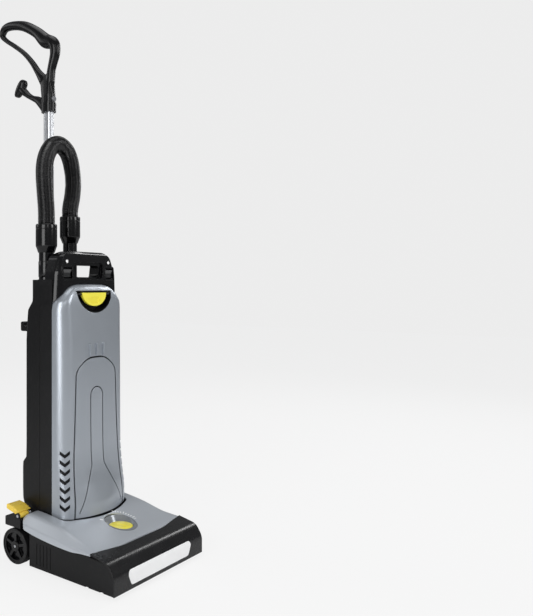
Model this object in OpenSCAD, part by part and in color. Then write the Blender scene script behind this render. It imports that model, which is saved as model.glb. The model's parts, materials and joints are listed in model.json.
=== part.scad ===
// Upright vacuum cleaner: floor head on two rear wheels, upright body that leans back about the wheel
// axle, stowed suction hose and a telescopic loop handle. Millimetres. Depths (y) are written from the
// front of the bumper and shifted so that the origin lies under the middle of the whole machine.

/* [Head] */
// Width over the bumper and the wheels
head_w = 305; // [290:1:320]
// Front of the bumper to the rear edge of the head cover
head_len = 261; // [258:1:264]
// Floor to the lower edge of the skirts and the sole
sole_z = 8; // [6:0.5:9]
// Height of the bumper's rear edge
bumper_h = 76; // [74:1:79]
// Height of the head cover at its rear
cover_h = 111; // [108:1:114]
// Wall of every moulded shell
wall = 3; // [2.5:0.1:3.5]
// Seam between neighbouring covers
seam = 0.5; // [0.3:0.1:0.8]
// Length of the pale strip on the bumper along its upper edge
strip_w = 225; // [180:1:240]
// Height of the pale strip on the bumper
strip_h = 30; // [22:1:31]
// Distance of the height dial behind the bumper's front
dial_y = 108; // [104:1:110]
// Radius of the dial's clear surround
dial_ring_r = 36; // [32:0.5:37]
// Radius of the turning dial
dial_r = 26; // [22:0.5:27]

/* [Wheels] */
// Radius of the rear wheels
wheel_r = 38; // [36:0.5:39]
// Width of a rear wheel
wheel_w = 21; // [18:0.5:22]
// Tread thickness of a rear tyre
tyre_t = 5; // [3:0.5:7]
// Distance of the wheel axle behind the bumper's front
axle_y = 278.5; // [276:0.5:281]
// Radius of the stub axles
axle_r = 7; // [5:0.5:7.5]
// Radial running clearance of turning shafts
run = 0.05; // [0.02:0.01:0.08]
// Radius of the small front rollers
roller_r = 11; // [10:0.5:11.5]
// Width of a front roller
roller_w = 14; // [10:0.5:15]

/* [Brush] */
// Distance of the brush shaft behind the bumper's front
brush_y = 50; // [48:0.5:52]
// Height of the brush shaft
brush_z = 30; // [29.5:0.5:31]
// Radius of the brush core
core_r = 16; // [14:0.5:18]
// Radius over the bristle tips
bristle_r = 28; // [25:0.5:28.5]
// Radius of the brush pulley
pulley_r = 15; // [12:0.5:16]
// Radius of the motor pinion
pinion_r = 9; // [7:0.5:10]
// Width of the drive belt
belt_w = 8; // [6:0.5:9]

/* [Body] */
// Width of the upright body
body_w = 206; // [200:1:208]
// Distance of the seam between front cover and rear housing behind the bumper's front
seam_y = 215; // [213:0.5:217]
// Distance of the rear spine's back behind the bumper's front
spine_y = 345; // [344:0.5:348]
// Height of the foot of the front cover
foot_z = 102; // [101:0.5:104]
// Height of the top edge of the front cover
cover_top = 604; // [594:1:606]
// Height of the rear housing's top ledge
ledge_z = 612; // [610:1:616]
// Height of the partition between motor room and bag chamber
partition_z = 290; // [286:1:296]
// Half width of the arched panel in the front cover
panel_hw = 67; // [60:0.5:70]
// Height of the crown of the arched panel
panel_top = 443; // [430:1:450]

/* [Carry handle] */
// Height of the carry handle's top
grip_top = 675; // [670:1:680]
// Half width of the hand opening
window_hw = 42; // [36:0.5:44]
// Height of the hand opening
window_h = 26; // [22:0.5:28]

/* [Hose] */
// Outer diameter over the hose's ribs
hose_d = 39; // [37:0.5:40]
// Bore of the hose
hose_bore = 31; // [28:0.5:32]
// Number of ribs along the hose
rib_count = 130; // [90:1:150]
// Outer diameter of the hose cuffs
cuff_d = 48.5; // [46:0.5:50]
// Outer diameter of the stowed wand
wand_d = 34; // [32:0.5:35]

/* [Handle] */
// Width of the oval handle tube across the machine
tube_w = 18; // [16:0.5:19]
// Depth of the oval handle tube
tube_d = 26; // [24:0.5:27]
// Wall of the handle tube
tube_wall = 1.6; // [1.2:0.1:2]
// Distance of the tube's axis behind the bumper's front
tube_y = 328; // [327.5:0.5:329]
// Height of the handle collar's lower edge
collar_z = 1008; // [1000:1:1012]
// Half width of the loop handle's grip across the machine
grip_hw = 14; // [11:0.5:16]
// Rearmost point of the loop handle behind the tube's axis
handle_reach = 170; // [165:1:175]

/* [Hidden] */

grey = [0.56, 0.59, 0.63];
black = [0.07, 0.07, 0.08];
charcoal = [0.17, 0.17, 0.18];
yellow = [0.98, 0.90, 0.30];
steel = [0.72, 0.73, 0.75];
white = [0.95, 0.95, 0.95];

eps = 0.01;
head_hw = head_w / 2;
body_hw = body_w / 2;
origin_y = -(tube_y + handle_reach) / 2;

// ---- helpers ----

module from_front() translate([0, origin_y, 0]) children();

// A (y, z) outline drawn across the machine from x0 to x1
module across(x0, x1) translate([x0, 0, 0]) rotate([90, 0, 90]) linear_extrude(x1 - x0) children();

// An (x, z) outline drawn in depth from y0 to y1
module in_depth(y0, y1) translate([0, y1, 0]) rotate([90, 0, 0]) linear_extrude(y1 - y0) children();

// A cylinder across the machine from x0 to x1
module rod(x0, x1, y, z, r, fn = 48) translate([x0, y, z]) rotate([0, 90, 0])
    cylinder(x1 - x0, r = r, $fn = fn);

module block(x, y, z) translate([x[0], y[0], z[0]]) cube([x[1] - x[0], y[1] - y[0], z[1] - z[0]]);

module both_sides() {
    children();
    mirror([1, 0, 0]) children();
}

function unit(v) = v / norm(v);
function turned(v, a) = [v[0] * cos(a) - v[1] * sin(a), v[0] * sin(a) + v[1] * cos(a)];

// One corner [x, y, r] of an outline as an arc of n steps
function corner_arc(p, q, s, n) =
    let(c = [q[0], q[1]], a = unit([p[0], p[1]] - c), b = unit([s[0], s[1]] - c))
    q[2] < eps ? [c] :
    let(
        half = acos(a * b) / 2,
        middle = c + unit(a + b) * q[2] / sin(half),
        start = c + a * q[2] / tan(half) - middle,
        sweep = (180 - 2 * half) * (a[0] * b[1] - a[1] * b[0] < 0 ? 1 : -1)
    )
    [for (i = [0:n]) middle + turned(start, sweep * i / n)];

// A closed outline of corners [x, y, r] with each corner rounded to its radius
function rounded(c, n = 5) =
    let(m = len(c)) [for (i = [0:m - 1]) each corner_arc(c[(i + m - 1) % m], c[i], c[(i + 1) % m], n)];

function mirrored(half) =
    concat(half, [for (i = [len(half) - 1:-1:0]) [-half[i][0], half[i][1], half[i][2]]]);

// An open line of corners, rounded between its two ends
function rounded_line(c, n = 6) =
    let(m = len(c))
    concat([[c[0][0], c[0][1]]], [for (i = [1:m - 2]) each corner_arc(c[i - 1], c[i], c[i + 1], n)],
           [[c[m - 1][0], c[m - 1][1]]]);

// The line moved sideways by t, to its right
function beside(p, t) =
    let(m = len(p))
    [for (i = [0:m - 1])
        let(d = unit(p[min(i + 1, m - 1)] - p[max(i - 1, 0)])) p[i] + t * [d[1], -d[0]]];

function reversed(p) = [for (i = [len(p) - 1:-1:0]) p[i]];

// A skin through rings of equally many points, closed at both ends
module skin(rings) {
    n = len(rings[0]);
    m = len(rings);
    sides = [for (k = [0:m - 2], i = [0:n - 1])
        let(a = k * n + i, b = k * n + (i + 1) % n)
        each [[a, b, b + n], [a, b + n, a + n]]];
    polyhedron([for (r = rings) each r],
               concat(sides, [[for (i = [n - 1:-1:0]) i], [for (i = [0:n - 1]) (m - 1) * n + i]]));
}

// A smooth line through hand-set points: steps points between each two
function smooth(p, steps) =
    let(m = len(p))
    concat(
        [for (i = [0:m - 2], k = [0:steps - 1])
            let(t = k / steps, a = p[max(0, i - 1)], b = p[i], c = p[i + 1], d = p[min(m - 1, i + 2)])
            b + t * (c - a) / 2 + t * t * (a - 2.5 * b + 2 * c - d / 2)
                + t * t * t * (1.5 * (b - c) + (d - a) / 2)],
        [p[m - 1]]);

// Rings of radius r(i) round a line, carried along without twist from a first side direction
function frames(p, side, i = 0) =
    i >= len(p) ? [] :
    let(
        d = unit(p[min(i + 1, len(p) - 1)] - p[max(i - 1, 0)]),
        s = unit(side - d * (side * d))
    )
    concat([[p[i], s, cross(d, s)]], frames(p, s, i + 1));

function tube_rings(f, radii, sides) =
    [for (i = [0:len(f) - 1]) [for (k = [0:sides - 1])
        f[i][0] + radii[i] * (cos(360 * k / sides) * f[i][1] - sin(360 * k / sides) * f[i][2])]];

// ---- head outlines ----

axle_z = wheel_r;
inner_floor = sole_z + 2 * wall;
cover_front = 47;
cover_bow = 14;
chamber_r = bristle_r + 3;
deck_z = 84;
deck_t = 3;
foot_gap = 4;

// Bumper line in (y, z), from the lower front edge over the nose to the rear edge
bumper_line = rounded_line([[0, sole_z, 0], [0, 44, 30], [16, 68, 24], [64, bumper_h + 1, 0]]);

module bumper_band(t0, t1) polygon(concat(beside(bumper_line, t0), reversed(beside(bumper_line, t1))));

// Space in front of and outside the head cover's bowed front edge, in plan
module front_edge_plan(gap) {
    w = head_hw + 20;
    edge = cover_front + cover_bow * 1.3;
    line = rounded_line([[-w, edge, 0], [-70, cover_front, 150], [70, cover_front, 150], [w, edge, 0]]);
    polygon(concat([for (p = line) [p[0], p[1] - gap]], [[w, -20], [-w, -20]]));
}

// Height of the head cover's lower side edge and of its top along the machine
cover_stations = [
    // y, top, lower edge
    [40, bumper_h - 2, bumper_h - 8], [61, bumper_h + 3, bumper_h - 5], [85, 84, 70], [114, 91, 67],
    [150, cover_h - 11, 68], [190, cover_h - 5, 71], [head_len - 31, cover_h - 1, 76],
    [head_len - 9, cover_h, 81],
    [head_len, cover_h - 3, 85]
];

function cover_ring(s, t, open) =
    let(
        hw = head_hw - t, top = s[1] - t, low = s[2] - open,
        drop = (s[1] - s[2]) * 0.6,
        r = min(6, (top - drop - low) * 0.9),
        outline = rounded(mirrored([[hw, low, 0], [hw, top - drop, r], [hw - 19, top - 2, 20],
            [40, top, 60]]), 4)
    )
    [for (p = outline) [p[0], s[0], p[1]]];

module head_cover_form(t = 0, open = 0)
    skin([for (s = cover_stations)
        let(past = s[0] > head_len - 1 ? 20 : s[0] < 41 ? -5 : 0)
        cover_ring(s + [open > 0 ? past : 0, 0, 0], t, open)]);

// Outline of the front cover at its foot, in plan, grown by gap
foot_front = 150;
foot_bow = 28;
module foot_plan(gap, back) {
    hw = body_hw + gap;
    polygon(rounded(mirrored([[0.35 * hw, foot_front - gap, 170], [hw, foot_front + foot_bow - gap, 22],
        [hw, back, 0]])));
}

// ---- head ----

skirt_rear = axle_y - wheel_r - 7.5;
mouth_y = [brush_y - 28, brush_y + 28];
mouth_hw = head_hw - 18.5;
carriage_y = dial_y - 4;
carriage_hw = 67;
bearing_r = 9;
bearing_x = [head_hw - 11.5, head_hw - 5.5];
chamber_end = head_hw - 26.5;
roller_x = carriage_hw - 16;
block_front = axle_y - 22;
rear_wall_y = [block_front - wall - 0.5, block_front - 0.5];
niche_x = head_hw - wheel_w - 2.5;
deck_rear = block_front - 5.5;
duct_x = -(body_hw - 43);
duct_hw = 17;
knuckle_r = 30;
motor_y = 165;
motor_z = 50;
motor_r = 27;
motor_x = [head_hw - 134.5, head_hw - 40.5];
spindle_r = 6;
sole_screws = [for (x = [-1, 1] * (head_hw - 32.5), y = [dial_y - 16, motor_y, skirt_rear + 7]) [x, y]];

// Plan of the floor, inset from the sides and the front, with room for the rear wheels
module floor_plan(side, front) difference() {
    translate([-head_hw + side, front]) square([head_w - 2 * side, rear_wall_y[1] - front]);
    for (x = [niche_x, -200]) translate([x, skirt_rear + wall]) square([200 - niche_x, 100]);
}

module sole_cutouts(z0, z1) {
    block([-mouth_hw, mouth_hw], mouth_y, [z0, z1]);
    block([-carriage_hw, carriage_hw], [carriage_y - 14, carriage_y + 14], [z0, z1]);
    for (p = sole_screws) translate([p[0], p[1], z0]) cylinder(z1 - z0, r = 4, $fn = 32);
}

// Side wall in (y, z): inside the bumper and the head cover
module side_wall_outline(top_gap, rear, inside) {
    nose = [for (p = beside(bumper_line, wall + 0.3)) if (p[1] > sole_z && p[0] < 60) p];
    crest = [for (s = cover_stations) if (s[0] > 62 && s[0] < rear)
        [s[0], (inside ? s[1] - (s[1] - s[2]) * 0.6 - wall : s[2]) - top_gap]];
    polygon(concat([[wall + 0.3, sole_z]], nose, crest,
        [[rear, (inside ? deck_z + 2 : 75) - top_gap], [rear, sole_z]]));
}

module head_base() color(black) from_front() {
    difference() {
        union() {
            translate([0, 0, sole_z + wall]) linear_extrude(wall) floor_plan(wall + 0.5, wall + 2);
            both_sides() {
                across(head_hw - 2 * wall, head_hw - wall - 0.5)
                    side_wall_outline(2, skirt_rear + wall, true);
                block([niche_x - wall, head_hw - wall - 0.5], [skirt_rear, skirt_rear + wall],
                    [sole_z + wall, deck_z]);
                block([niche_x - wall, niche_x], [skirt_rear, rear_wall_y[1]], [sole_z + wall, deck_z]);
                across(head_hw - wall - 0.6, head_hw - 1) side_wall_outline(seam, skirt_rear, false);
                rod(bearing_x[0], head_hw - wall - 1, brush_y, brush_z, bearing_r + 3);
                block([arm_x[0] - 4, niche_x], rear_wall_y, [sole_z + wall, deck_z]);
                block([body_hw - 3, body_hw + 4], [200, rear_wall_y[1]], [inner_floor - eps, deck_z + 1]);
            }
            across(-bearing_x[0], chamber_end) difference() {
                union() {
                    translate([brush_y, brush_z]) circle(chamber_r + wall, $fn = 64);
                    translate([brush_y - chamber_r - wall, inner_floor - eps])
                        square([2 * (chamber_r + wall), brush_z - inner_floor + eps]);
                }
                translate([brush_y, brush_z]) circle(chamber_r, $fn = 64);
                translate([brush_y - chamber_r, -brush_z]) square([2 * chamber_r, 2 * brush_z]);
            }
            // Deck under the foot of the body
            translate([0, 0, deck_z]) linear_extrude(deck_t) intersection() {
                foot_plan(foot_gap + 4, rear_wall_y[1]);
                translate([-body_hw - 12, 100]) square([body_w + 24, deck_rear - 100]);
            }
            // Cradles of the brush motor
            for (x = [motor_x[0] + 12, motor_x[1] - 18])
                block([x, x + 5], [motor_y - 22, motor_y + 22], [inner_floor - eps, motor_z - 10]);
        }
        sole_cutouts(0, inner_floor + eps);
        // Well of the dial's surround in the deck
        translate([0, dial_y, 60]) cylinder(60, r = dial_ring_r + 0.3, $fn = 72);
        // Room for the brush pulley
        rod(chamber_end, bearing_x[0], brush_y, brush_z, pulley_r + 5);
        both_sides() rod(bearing_x[0] - 1, bearing_x[1], brush_y, brush_z, bearing_r + 0.02);
        rod(motor_x[0], motor_x[1], motor_y, motor_z, motor_r + 0.05, 64);
        // Outlet of the brush chamber and passage of the duct
        block([duct_x - duct_hw, duct_x + duct_hw], [brush_y, brush_y + 45], [36, 58]);
        block([duct_x - duct_hw - 3, duct_x + duct_hw + 3], [rear_wall_y[0] - 1, 260], [15, 75]);
        // Grooves in the side skirts
        both_sides() for (i = [0:4])
            block([head_hw - 1.8, head_hw], [168 + i * 10, 172 + i * 10], [sole_z + 8, 60]);
        // Notches in the lower edge of the skirts
        both_sides() for (y = [28, 66]) block([head_hw - wall - 0.4, head_hw], [y, y + 8],
            [0, sole_z + 2.5]);
    }
}

module sole_plate() color(steel) from_front() difference() {
    translate([0, 0, sole_z]) linear_extrude(wall) floor_plan(2 * wall, wall + 3);
    sole_cutouts(0, sole_z + 2 * wall);
}

module head_cover() color(grey) from_front() difference() {
    intersection() {
        head_cover_form();
        linear_extrude(200) difference() {
            polygon(rounded(mirrored([[head_hw, head_len, 14], [head_hw, 0, 0]])));
            front_edge_plan(0);
        }
    }
    head_cover_form(wall, 12);
    linear_extrude(200) foot_plan(foot_gap, head_len + 30);
    translate([0, dial_y, 0]) cylinder(200, r = dial_ring_r + 0.3, $fn = 72);
}

module bumper() color(charcoal) from_front() difference() {
    across(-head_hw, head_hw) bumper_band(0, wall);
    translate([0, 0, bumper_h - 20]) linear_extrude(60) difference() {
        translate([-200, -10]) square([400, 100]);
        front_edge_plan(seam);
    }
    bumper_strip_form(1.6, 0.15);
}

// Trapezoid strip on the bumper's front face, t deep and grown by gap
module bumper_strip_form(t, gap) {
    top = sole_z + 8 + strip_h;
    intersection() {
        across(-head_hw, head_hw) bumper_band(-1, t);
        in_depth(-5, 20) polygon(rounded(mirrored([[strip_w / 2 - 14 + gap, sole_z + 8 - gap, 8],
            [strip_w / 2 + gap, top + gap, 9]])));
    }
}

module bumper_strip() color(white) from_front() intersection() {
    bumper_strip_form(1.4, 0);
    across(-head_hw, head_hw) bumper_band(0, 5);
}

// Rear corner of the head: carries the stub axle and the pedal
lug_x = [body_hw + 7, head_hw - wheel_w - 3.5];
block_rear = head_len + 48;
hood_z = 99;
pedal_pin_y = head_len + 10;
pedal_pin_z = hood_z + 5;
pin_r = 3;

module axle_block() difference() {
    union() {
        across(lug_x[0], lug_x[1]) polygon(rounded([
            [block_front, 16, 0], [axle_y + 10, 16, 12], [axle_y + 18, 50, 8],
            [block_rear - 4, 80, 6], [block_rear, hood_z, 3],
            [block_front, hood_z, 0]]));
        across(lug_x[0], head_hw - 0.5) polygon(rounded([
            [head_len + 0.5, wheel_r * 2 + 3, 0], [block_rear, wheel_r * 2 + 3, 2],
            [block_rear, hood_z, 3], [head_len + 0.5, hood_z, 0]]));
        rod(arm_x[1] + 2, lug_x[0] + eps, axle_y, axle_z, 14);
        for (x = [lug_x[0], head_hw - 4]) {
            rod(x, x + 3, pedal_pin_y, pedal_pin_z, 6.5, 32);
            block([x, x + 3], [pedal_pin_y - 6.5, pedal_pin_y + 6.5], [hood_z - 4, pedal_pin_z]);
        }
    }
    rod(100, 200, axle_y, axle_z, axle_r + 0.02);
    rod(100, 200, pedal_pin_y, pedal_pin_z, pin_r + 0.02, 32);
    // Clearance over the wheel
    rod(lug_x[1], 200, axle_y, axle_z, wheel_r + 2.5, 64);
    // Well under the hinge of the pedal
    rod(lug_x[0] + 3, head_hw - 4, pedal_pin_y, pedal_pin_z, 7, 32);
}

module axle_block_left() color(black) from_front() mirror([1, 0, 0]) axle_block();

module axle_block_right() color(black) from_front() axle_block();

module wheel_axles() color(steel) from_front() both_sides()
    rod(arm_x[0] - 4, head_hw - 4, axle_y, axle_z, axle_r);

module wheel() difference() {
    union() {
        rod(head_hw - wheel_w + 1, head_hw - 1, axle_y, axle_z, wheel_r - tyre_t, 96);
        rod(lug_x[1] + 0.4, head_hw, axle_y, axle_z, 11);
    }
    rod(100, head_hw - 3, axle_y, axle_z, axle_r + run);
    difference() {
        for (x = [head_hw - wheel_w, head_hw - 8]) rod(x, x + 9, axle_y, axle_z, wheel_r - tyre_t - 4, 96);
        rod(100, 200, axle_y, axle_z, 11);
        for (i = [0:4]) translate([0, axle_y, axle_z]) rotate([i * 72, 0, 0])
            block([100, head_hw - 2], [-3, 3], [0, wheel_r]);
    }
}

module tyre() rotate([0, 90, 0]) rotate_extrude($fn = 96) translate([wheel_r, 0]) polygon(rounded([
    [-tyre_t, head_hw - wheel_w, 0], [-1.5, head_hw - wheel_w, 1.4], [0, head_hw - wheel_w + 4, 4],
    [0, head_hw - 4, 4],
    [-1.5, head_hw, 1.4], [-tyre_t, head_hw, 0]]));

module left_wheel() color(black) from_front() mirror([1, 0, 0]) wheel();

module right_wheel() color(black) from_front() wheel();

module left_tyre() color(black) from_front() mirror([1, 0, 0]) translate([0, axle_y, axle_z]) tyre();

module right_tyre() color(black) from_front() translate([0, axle_y, axle_z]) tyre();

// ---- brush drive ----

shaft_r = 4;
belt_x = [head_hw - 18.5 - belt_w / 2, head_hw - 18.5 + belt_w / 2];
roller_span = [20.5 - head_hw, head_hw - 30.5];

module brush_bearings() color(steel) from_front() both_sides() difference() {
    rod(bearing_x[0], bearing_x[1], brush_y, brush_z, bearing_r);
    rod(bearing_x[0] - 1, bearing_x[1] + 1, brush_y, brush_z, shaft_r + run);
}

module brush_roller() color(charcoal) from_front() {
    rod(roller_span[0], roller_span[1], brush_y, brush_z, core_r, 64);
    rod(-bearing_x[1] + 0.5, bearing_x[1] - 0.5, brush_y, brush_z, shaft_r);
    rod(belt_x[0] - 1, belt_x[1] + 1, brush_y, brush_z, pulley_r, 64);
    for (x = [belt_x[0] - 2.5, belt_x[1] + 1]) rod(x, x + 1.5, brush_y, brush_z, pulley_r + 3, 64);
}

// Two rows of tufts that wind round the core and meet in the middle
tuft_pitch = 8.5;
module brush_bristles() color([0.2, 0.2, 0.22]) from_front() {
    n = floor((roller_span[1] - roller_span[0] - 8) / tuft_pitch);
    for (i = [0:n - 1], row = [0:1])
        let(x = roller_span[0] + 8 + i * tuft_pitch, a = row * 180 + abs(x + 5) * 0.9)
            translate([x, brush_y, brush_z]) rotate([a, 0, 0]) translate([0, 0, core_r])
                cylinder(bristle_r - core_r, r = 2.6, $fn = 16);
}

module brush_motor() color(steel) from_front() difference() {
    union() {
        rod(motor_x[0], motor_x[1], motor_y, motor_z, motor_r, 64);
        rod(motor_x[1] - eps, motor_x[1] + 5, motor_y, motor_z, 11);
    }
    rod(motor_x[1] - 30, motor_x[1] + 10, motor_y, motor_z, shaft_r + run);
}

module motor_pinion() color(steel) from_front() {
    rod(motor_x[1] - 25, belt_x[1] + 1, motor_y, motor_z, shaft_r);
    rod(belt_x[0] - 1, belt_x[1] + 1, motor_y, motor_z, pinion_r);
    rod(belt_x[0] - 2.5, belt_x[0] - 1, motor_y, motor_z, pinion_r + 3);
}

module belt_outline(grow) hull() {
    translate([brush_y, brush_z]) circle(pulley_r + grow, $fn = 96);
    translate([motor_y, motor_z]) circle(pinion_r + grow, $fn = 96);
}

module drive_belt() color(black) from_front() across(belt_x[0], belt_x[1]) difference() {
    belt_outline(2.2);
    belt_outline(0.15);
}

// ---- height setting ----

cup_floor = 75;
dial_top = 83;

module dial_ring() color([0.85, 0.87, 0.88]) from_front() difference() {
    intersection() {
        translate([0, dial_y, cup_floor - 4]) cylinder(60, r = dial_ring_r, $fn = 72);
        head_cover_form(0.4);
    }
    translate([0, dial_y, cup_floor]) cylinder(60, r = dial_r + 0.5, $fn = 72);
    translate([0, dial_y, dial_top - 1]) cylinder(20, r1 = dial_r + 0.5, r2 = dial_ring_r + 6, $fn = 72);
    translate([0, dial_y, 0]) cylinder(100, r = spindle_r + run);
}

module height_dial() color(yellow) from_front() translate([0, dial_y, 0]) difference() {
    union() {
        translate([0, 0, cup_floor + 0.3]) cylinder(dial_top - cup_floor - 0.3, r = dial_r, $fn = 72);
        translate([0, 0, inner_floor + 6]) cylinder(cup_floor - inner_floor - 4, r = spindle_r, $fn = 48);
    }
    // Pointer groove
    translate([-1, dial_r - 9, dial_top - 1]) cube([2, 12, 2]);
}

carriage_z = 2 * roller_r + 1;
module roller_carriage() color(black) from_front() difference() {
    union() {
        block([-carriage_hw + 1, carriage_hw - 1], [carriage_y - 12, dial_y + 12],
            [carriage_z, carriage_z + 3]);
        both_sides() block([carriage_hw - 5, carriage_hw - 1], [carriage_y - 8, carriage_y + 8],
            [roller_r - 4, carriage_z + 1]);
        translate([0, dial_y, carriage_z]) cylinder(24, r = spindle_r + 5, $fn = 48);
        rod(-carriage_hw + 2, carriage_hw - 2, carriage_y, roller_r, 3, 32);
    }
    translate([0, dial_y, 0]) cylinder(100, r = spindle_r + run, $fn = 48);
}

module front_rollers() color(black) from_front() both_sides() difference() {
    rod(roller_x - roller_w / 2, roller_x + roller_w / 2, carriage_y, roller_r, roller_r, 64);
    rod(0, 100, carriage_y, roller_r, 3 + run, 32);
}

// ---- suction path in the head ----

duct_line = [[chamber_r + brush_y + 1.5, 47], [150, 47], [axle_y - knuckle_r + 4, axle_z]];
module duct_outline(grow, ends) {
    line = concat([duct_line[0] - [ends, 0]], [duct_line[1]], [duct_line[2] + [ends, 0]]);
    polygon(concat([for (p = line) p + [0, 11 + grow]], reversed([for (p = line) p - [0, 11 + grow]])));
}

module suction_duct() color(black) from_front() difference() {
    union() {
        across(duct_x - duct_hw - 2.5, duct_x + duct_hw + 2.5) duct_outline(2.5, 2);
        // Socket round the pivoting knuckle
        difference() {
            rod(duct_x - duct_hw - 2.5, duct_x + duct_hw + 2.5, axle_y, axle_z, knuckle_r + 3, 64);
            block([-200, 200], [axle_y - 14, 400], [0, 200]);
            block([-200, 200], [200, 400], [axle_z + 16, 200]);
        }
    }
    across(duct_x - duct_hw, duct_x + duct_hw) duct_outline(0, 20);
    rod(-200, 200, brush_y, brush_z, chamber_r + wall + 0.05, 64);
    rod(-200, 200, axle_y, axle_z, knuckle_r + 0.3, 64);
}

// ---- pedal ----

pedal_x = [lug_x[0] + 3.4, head_hw - 4.4];
spring_x = [lug_x[0] + 4, lug_x[0] + 12];

module pedal_pin() color(steel) from_front() mirror([1, 0, 0])
    rod(lug_x[0], head_hw - 1, pedal_pin_y, pedal_pin_z, pin_r, 32);

module release_pedal() color(yellow) from_front() mirror([1, 0, 0]) difference() {
    union() {
        rod(spring_x[1] + 1, pedal_x[1], pedal_pin_y, pedal_pin_z, 6, 32);
        across(pedal_x[0], pedal_x[1]) polygon(rounded([
            [pedal_pin_y + 8.5, pedal_pin_z + 2, 1], [block_rear, pedal_pin_z + 9, 3],
            [block_rear, pedal_pin_z + 20, 4],
            [pedal_pin_y + 18, pedal_pin_z + 17, 8], [pedal_pin_y, pedal_pin_z + 9, 3],
            [pedal_pin_y - 2, pedal_pin_z + 8.4, 0.5]]));
        across(spring_x[1] + 1, pedal_x[1]) polygon([[pedal_pin_y, pedal_pin_z],
            [pedal_pin_y + 9, pedal_pin_z + 1], [pedal_pin_y + 9, pedal_pin_z + 8],
            [pedal_pin_y, pedal_pin_z + 8]]);
    }
    rod(100, 200, pedal_pin_y, pedal_pin_z, pin_r + run, 32);
}

// Torsion spring round the pedal pin
spring_wire = 1;
spring_turns = 3;
module pedal_spring() color(steel) from_front() mirror([1, 0, 0]) {
    steps = spring_turns * 12;
    r = pin_r + spring_wire + 0.6;
    line = [for (i = [0:steps])
        [spring_x[0] + spring_wire + (spring_x[1] - spring_x[0] - 2 * spring_wire) * i / steps,
         pedal_pin_y + r * cos(30 * i), pedal_pin_z + r * sin(30 * i)]];
    skin(tube_rings(frames(line, [1, 0, 0]), [for (p = line) spring_wire], 6));
}

module head_screws() color(steel) from_front() for (p = sole_screws) translate([p[0], p[1], sole_z + 0.5])
    difference() {
        cylinder(inner_floor - sole_z - 0.5, r = 3.9, $fn = 32);
        translate([-2.5, -0.5, -1]) cube([5, 1, 2]);
    }

// ---- body outlines ----

// Sections of the front cover: height, half width, centre front, bow, corner radius
cover_sections = [
    [foot_z, body_hw, foot_front, foot_bow, 22], [125, body_hw, 152, 25, 22], [150, body_hw, 159, 17, 24],
    [175, body_hw, 167, 10, 26], [205, body_hw, 173, 5, 28], [240, body_hw, 176, 3, 30],
    [450, body_hw, 178, 2, 30], [542, body_hw, 180, 2, 27],
    [cover_top - 42, body_hw - 3, 180.5, 2, 24], [cover_top - 30, body_hw - 11, 181.5, 2, 22],
    [cover_top - 17, body_hw - 23, 185, 2, 18], [cover_top - 8, body_hw - 37, 191, 2, 12],
    [cover_top - 4, body_hw - 47, 196, 2, 10], [cover_top, body_hw - 65, 203, 1, 8]
];

function cover_section(s, t, back, z) =
    let(
        hw = s[1] - t, front = s[2] + t, r = max(3, s[4] - t),
        outline = rounded(mirrored([[hw, back, 0], [hw, front + s[3], r], [0.35 * hw, front, 170]]), 4)
    )
    [for (p = outline) [p[0], p[1], z]];

// The form of the front cover, t inside its surface and reaching down by below
module cover_form(t, back, below = 0)
    skin([for (i = [0:len(cover_sections) - 1])
        let(s = cover_sections[i]) cover_section(s, t, back,
            i == 0 ? s[0] - below : s[0] - max(0, t) * i / (len(cover_sections) - 1))]);

// Sections of the rear housing: height, back of the sides, back of the spine
rear_sections = [
    [foot_z + 2, 300, 318], [125, 308, 332], [150, 308, spine_y], [206, 308, spine_y], [219, 296, spine_y],
    [480, 296, spine_y], [545, 291, spine_y], [565, 275, spine_y], [ledge_z, 275, spine_y]
];
spine_hw = 18;

function rear_section(s, t, front) =
    let(outline = rounded(mirrored([
        [spine_hw - t * 0.6, s[2] - t, 7], [body_hw - t, s[1] - t * 0.7, 9], [body_hw - t, front, 0]]), 4))
    [for (p = outline) [p[0], p[1], s[0]]];

module rear_form(t, front, z0, z1)
    skin([for (i = [0:len(rear_sections) - 1])
        let(s = rear_sections[i], z = i == 0 ? z0 : i == len(rear_sections) - 1 ? z1 : s[0])
        rear_section([z, s[1], s[2]], t, front)]);

// ---- body ----

cover_t = wall;
housing_floor = foot_z + 2;
arm_x = [body_hw - 15, body_hw - 3];
bush_r = 10;
yoke_z = [housing_floor + wall, housing_floor + wall + 6];
yoke_hw = body_hw - 5;
fan_x = 14;
fan_y = 264;
fan_r = 48;
motor_base = yoke_z[1] + 8;
motor_top = motor_base + 136;
hinge_y = 163;
hinge_x = [51.5, 57.5];
hinge_z = 107;
wand_r = wand_d / 2;
wand_y = 275;
riser_r = wand_r + 2.5;
wand_stop = 560;
inlet_x = 36;
inlet_y = 293;
inlet_r = 16.5;

module tube_oval(grow, z0, z1) translate([0, tube_y, z0]) linear_extrude(z1 - z0) {
    for (s = [-1, 1]) translate([0, s * (tube_d - tube_w) / 2]) circle(tube_w / 2 + grow, $fn = 48);
    square([tube_w + 2 * grow, tube_d - tube_w], center = true);
}

spine_screw_z = [180, 330, 420, 570];
gland_x = 68;
gland_z = 588;
gland_y = 290;
hook_z = 500;
guide_z = [430, 442];

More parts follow.
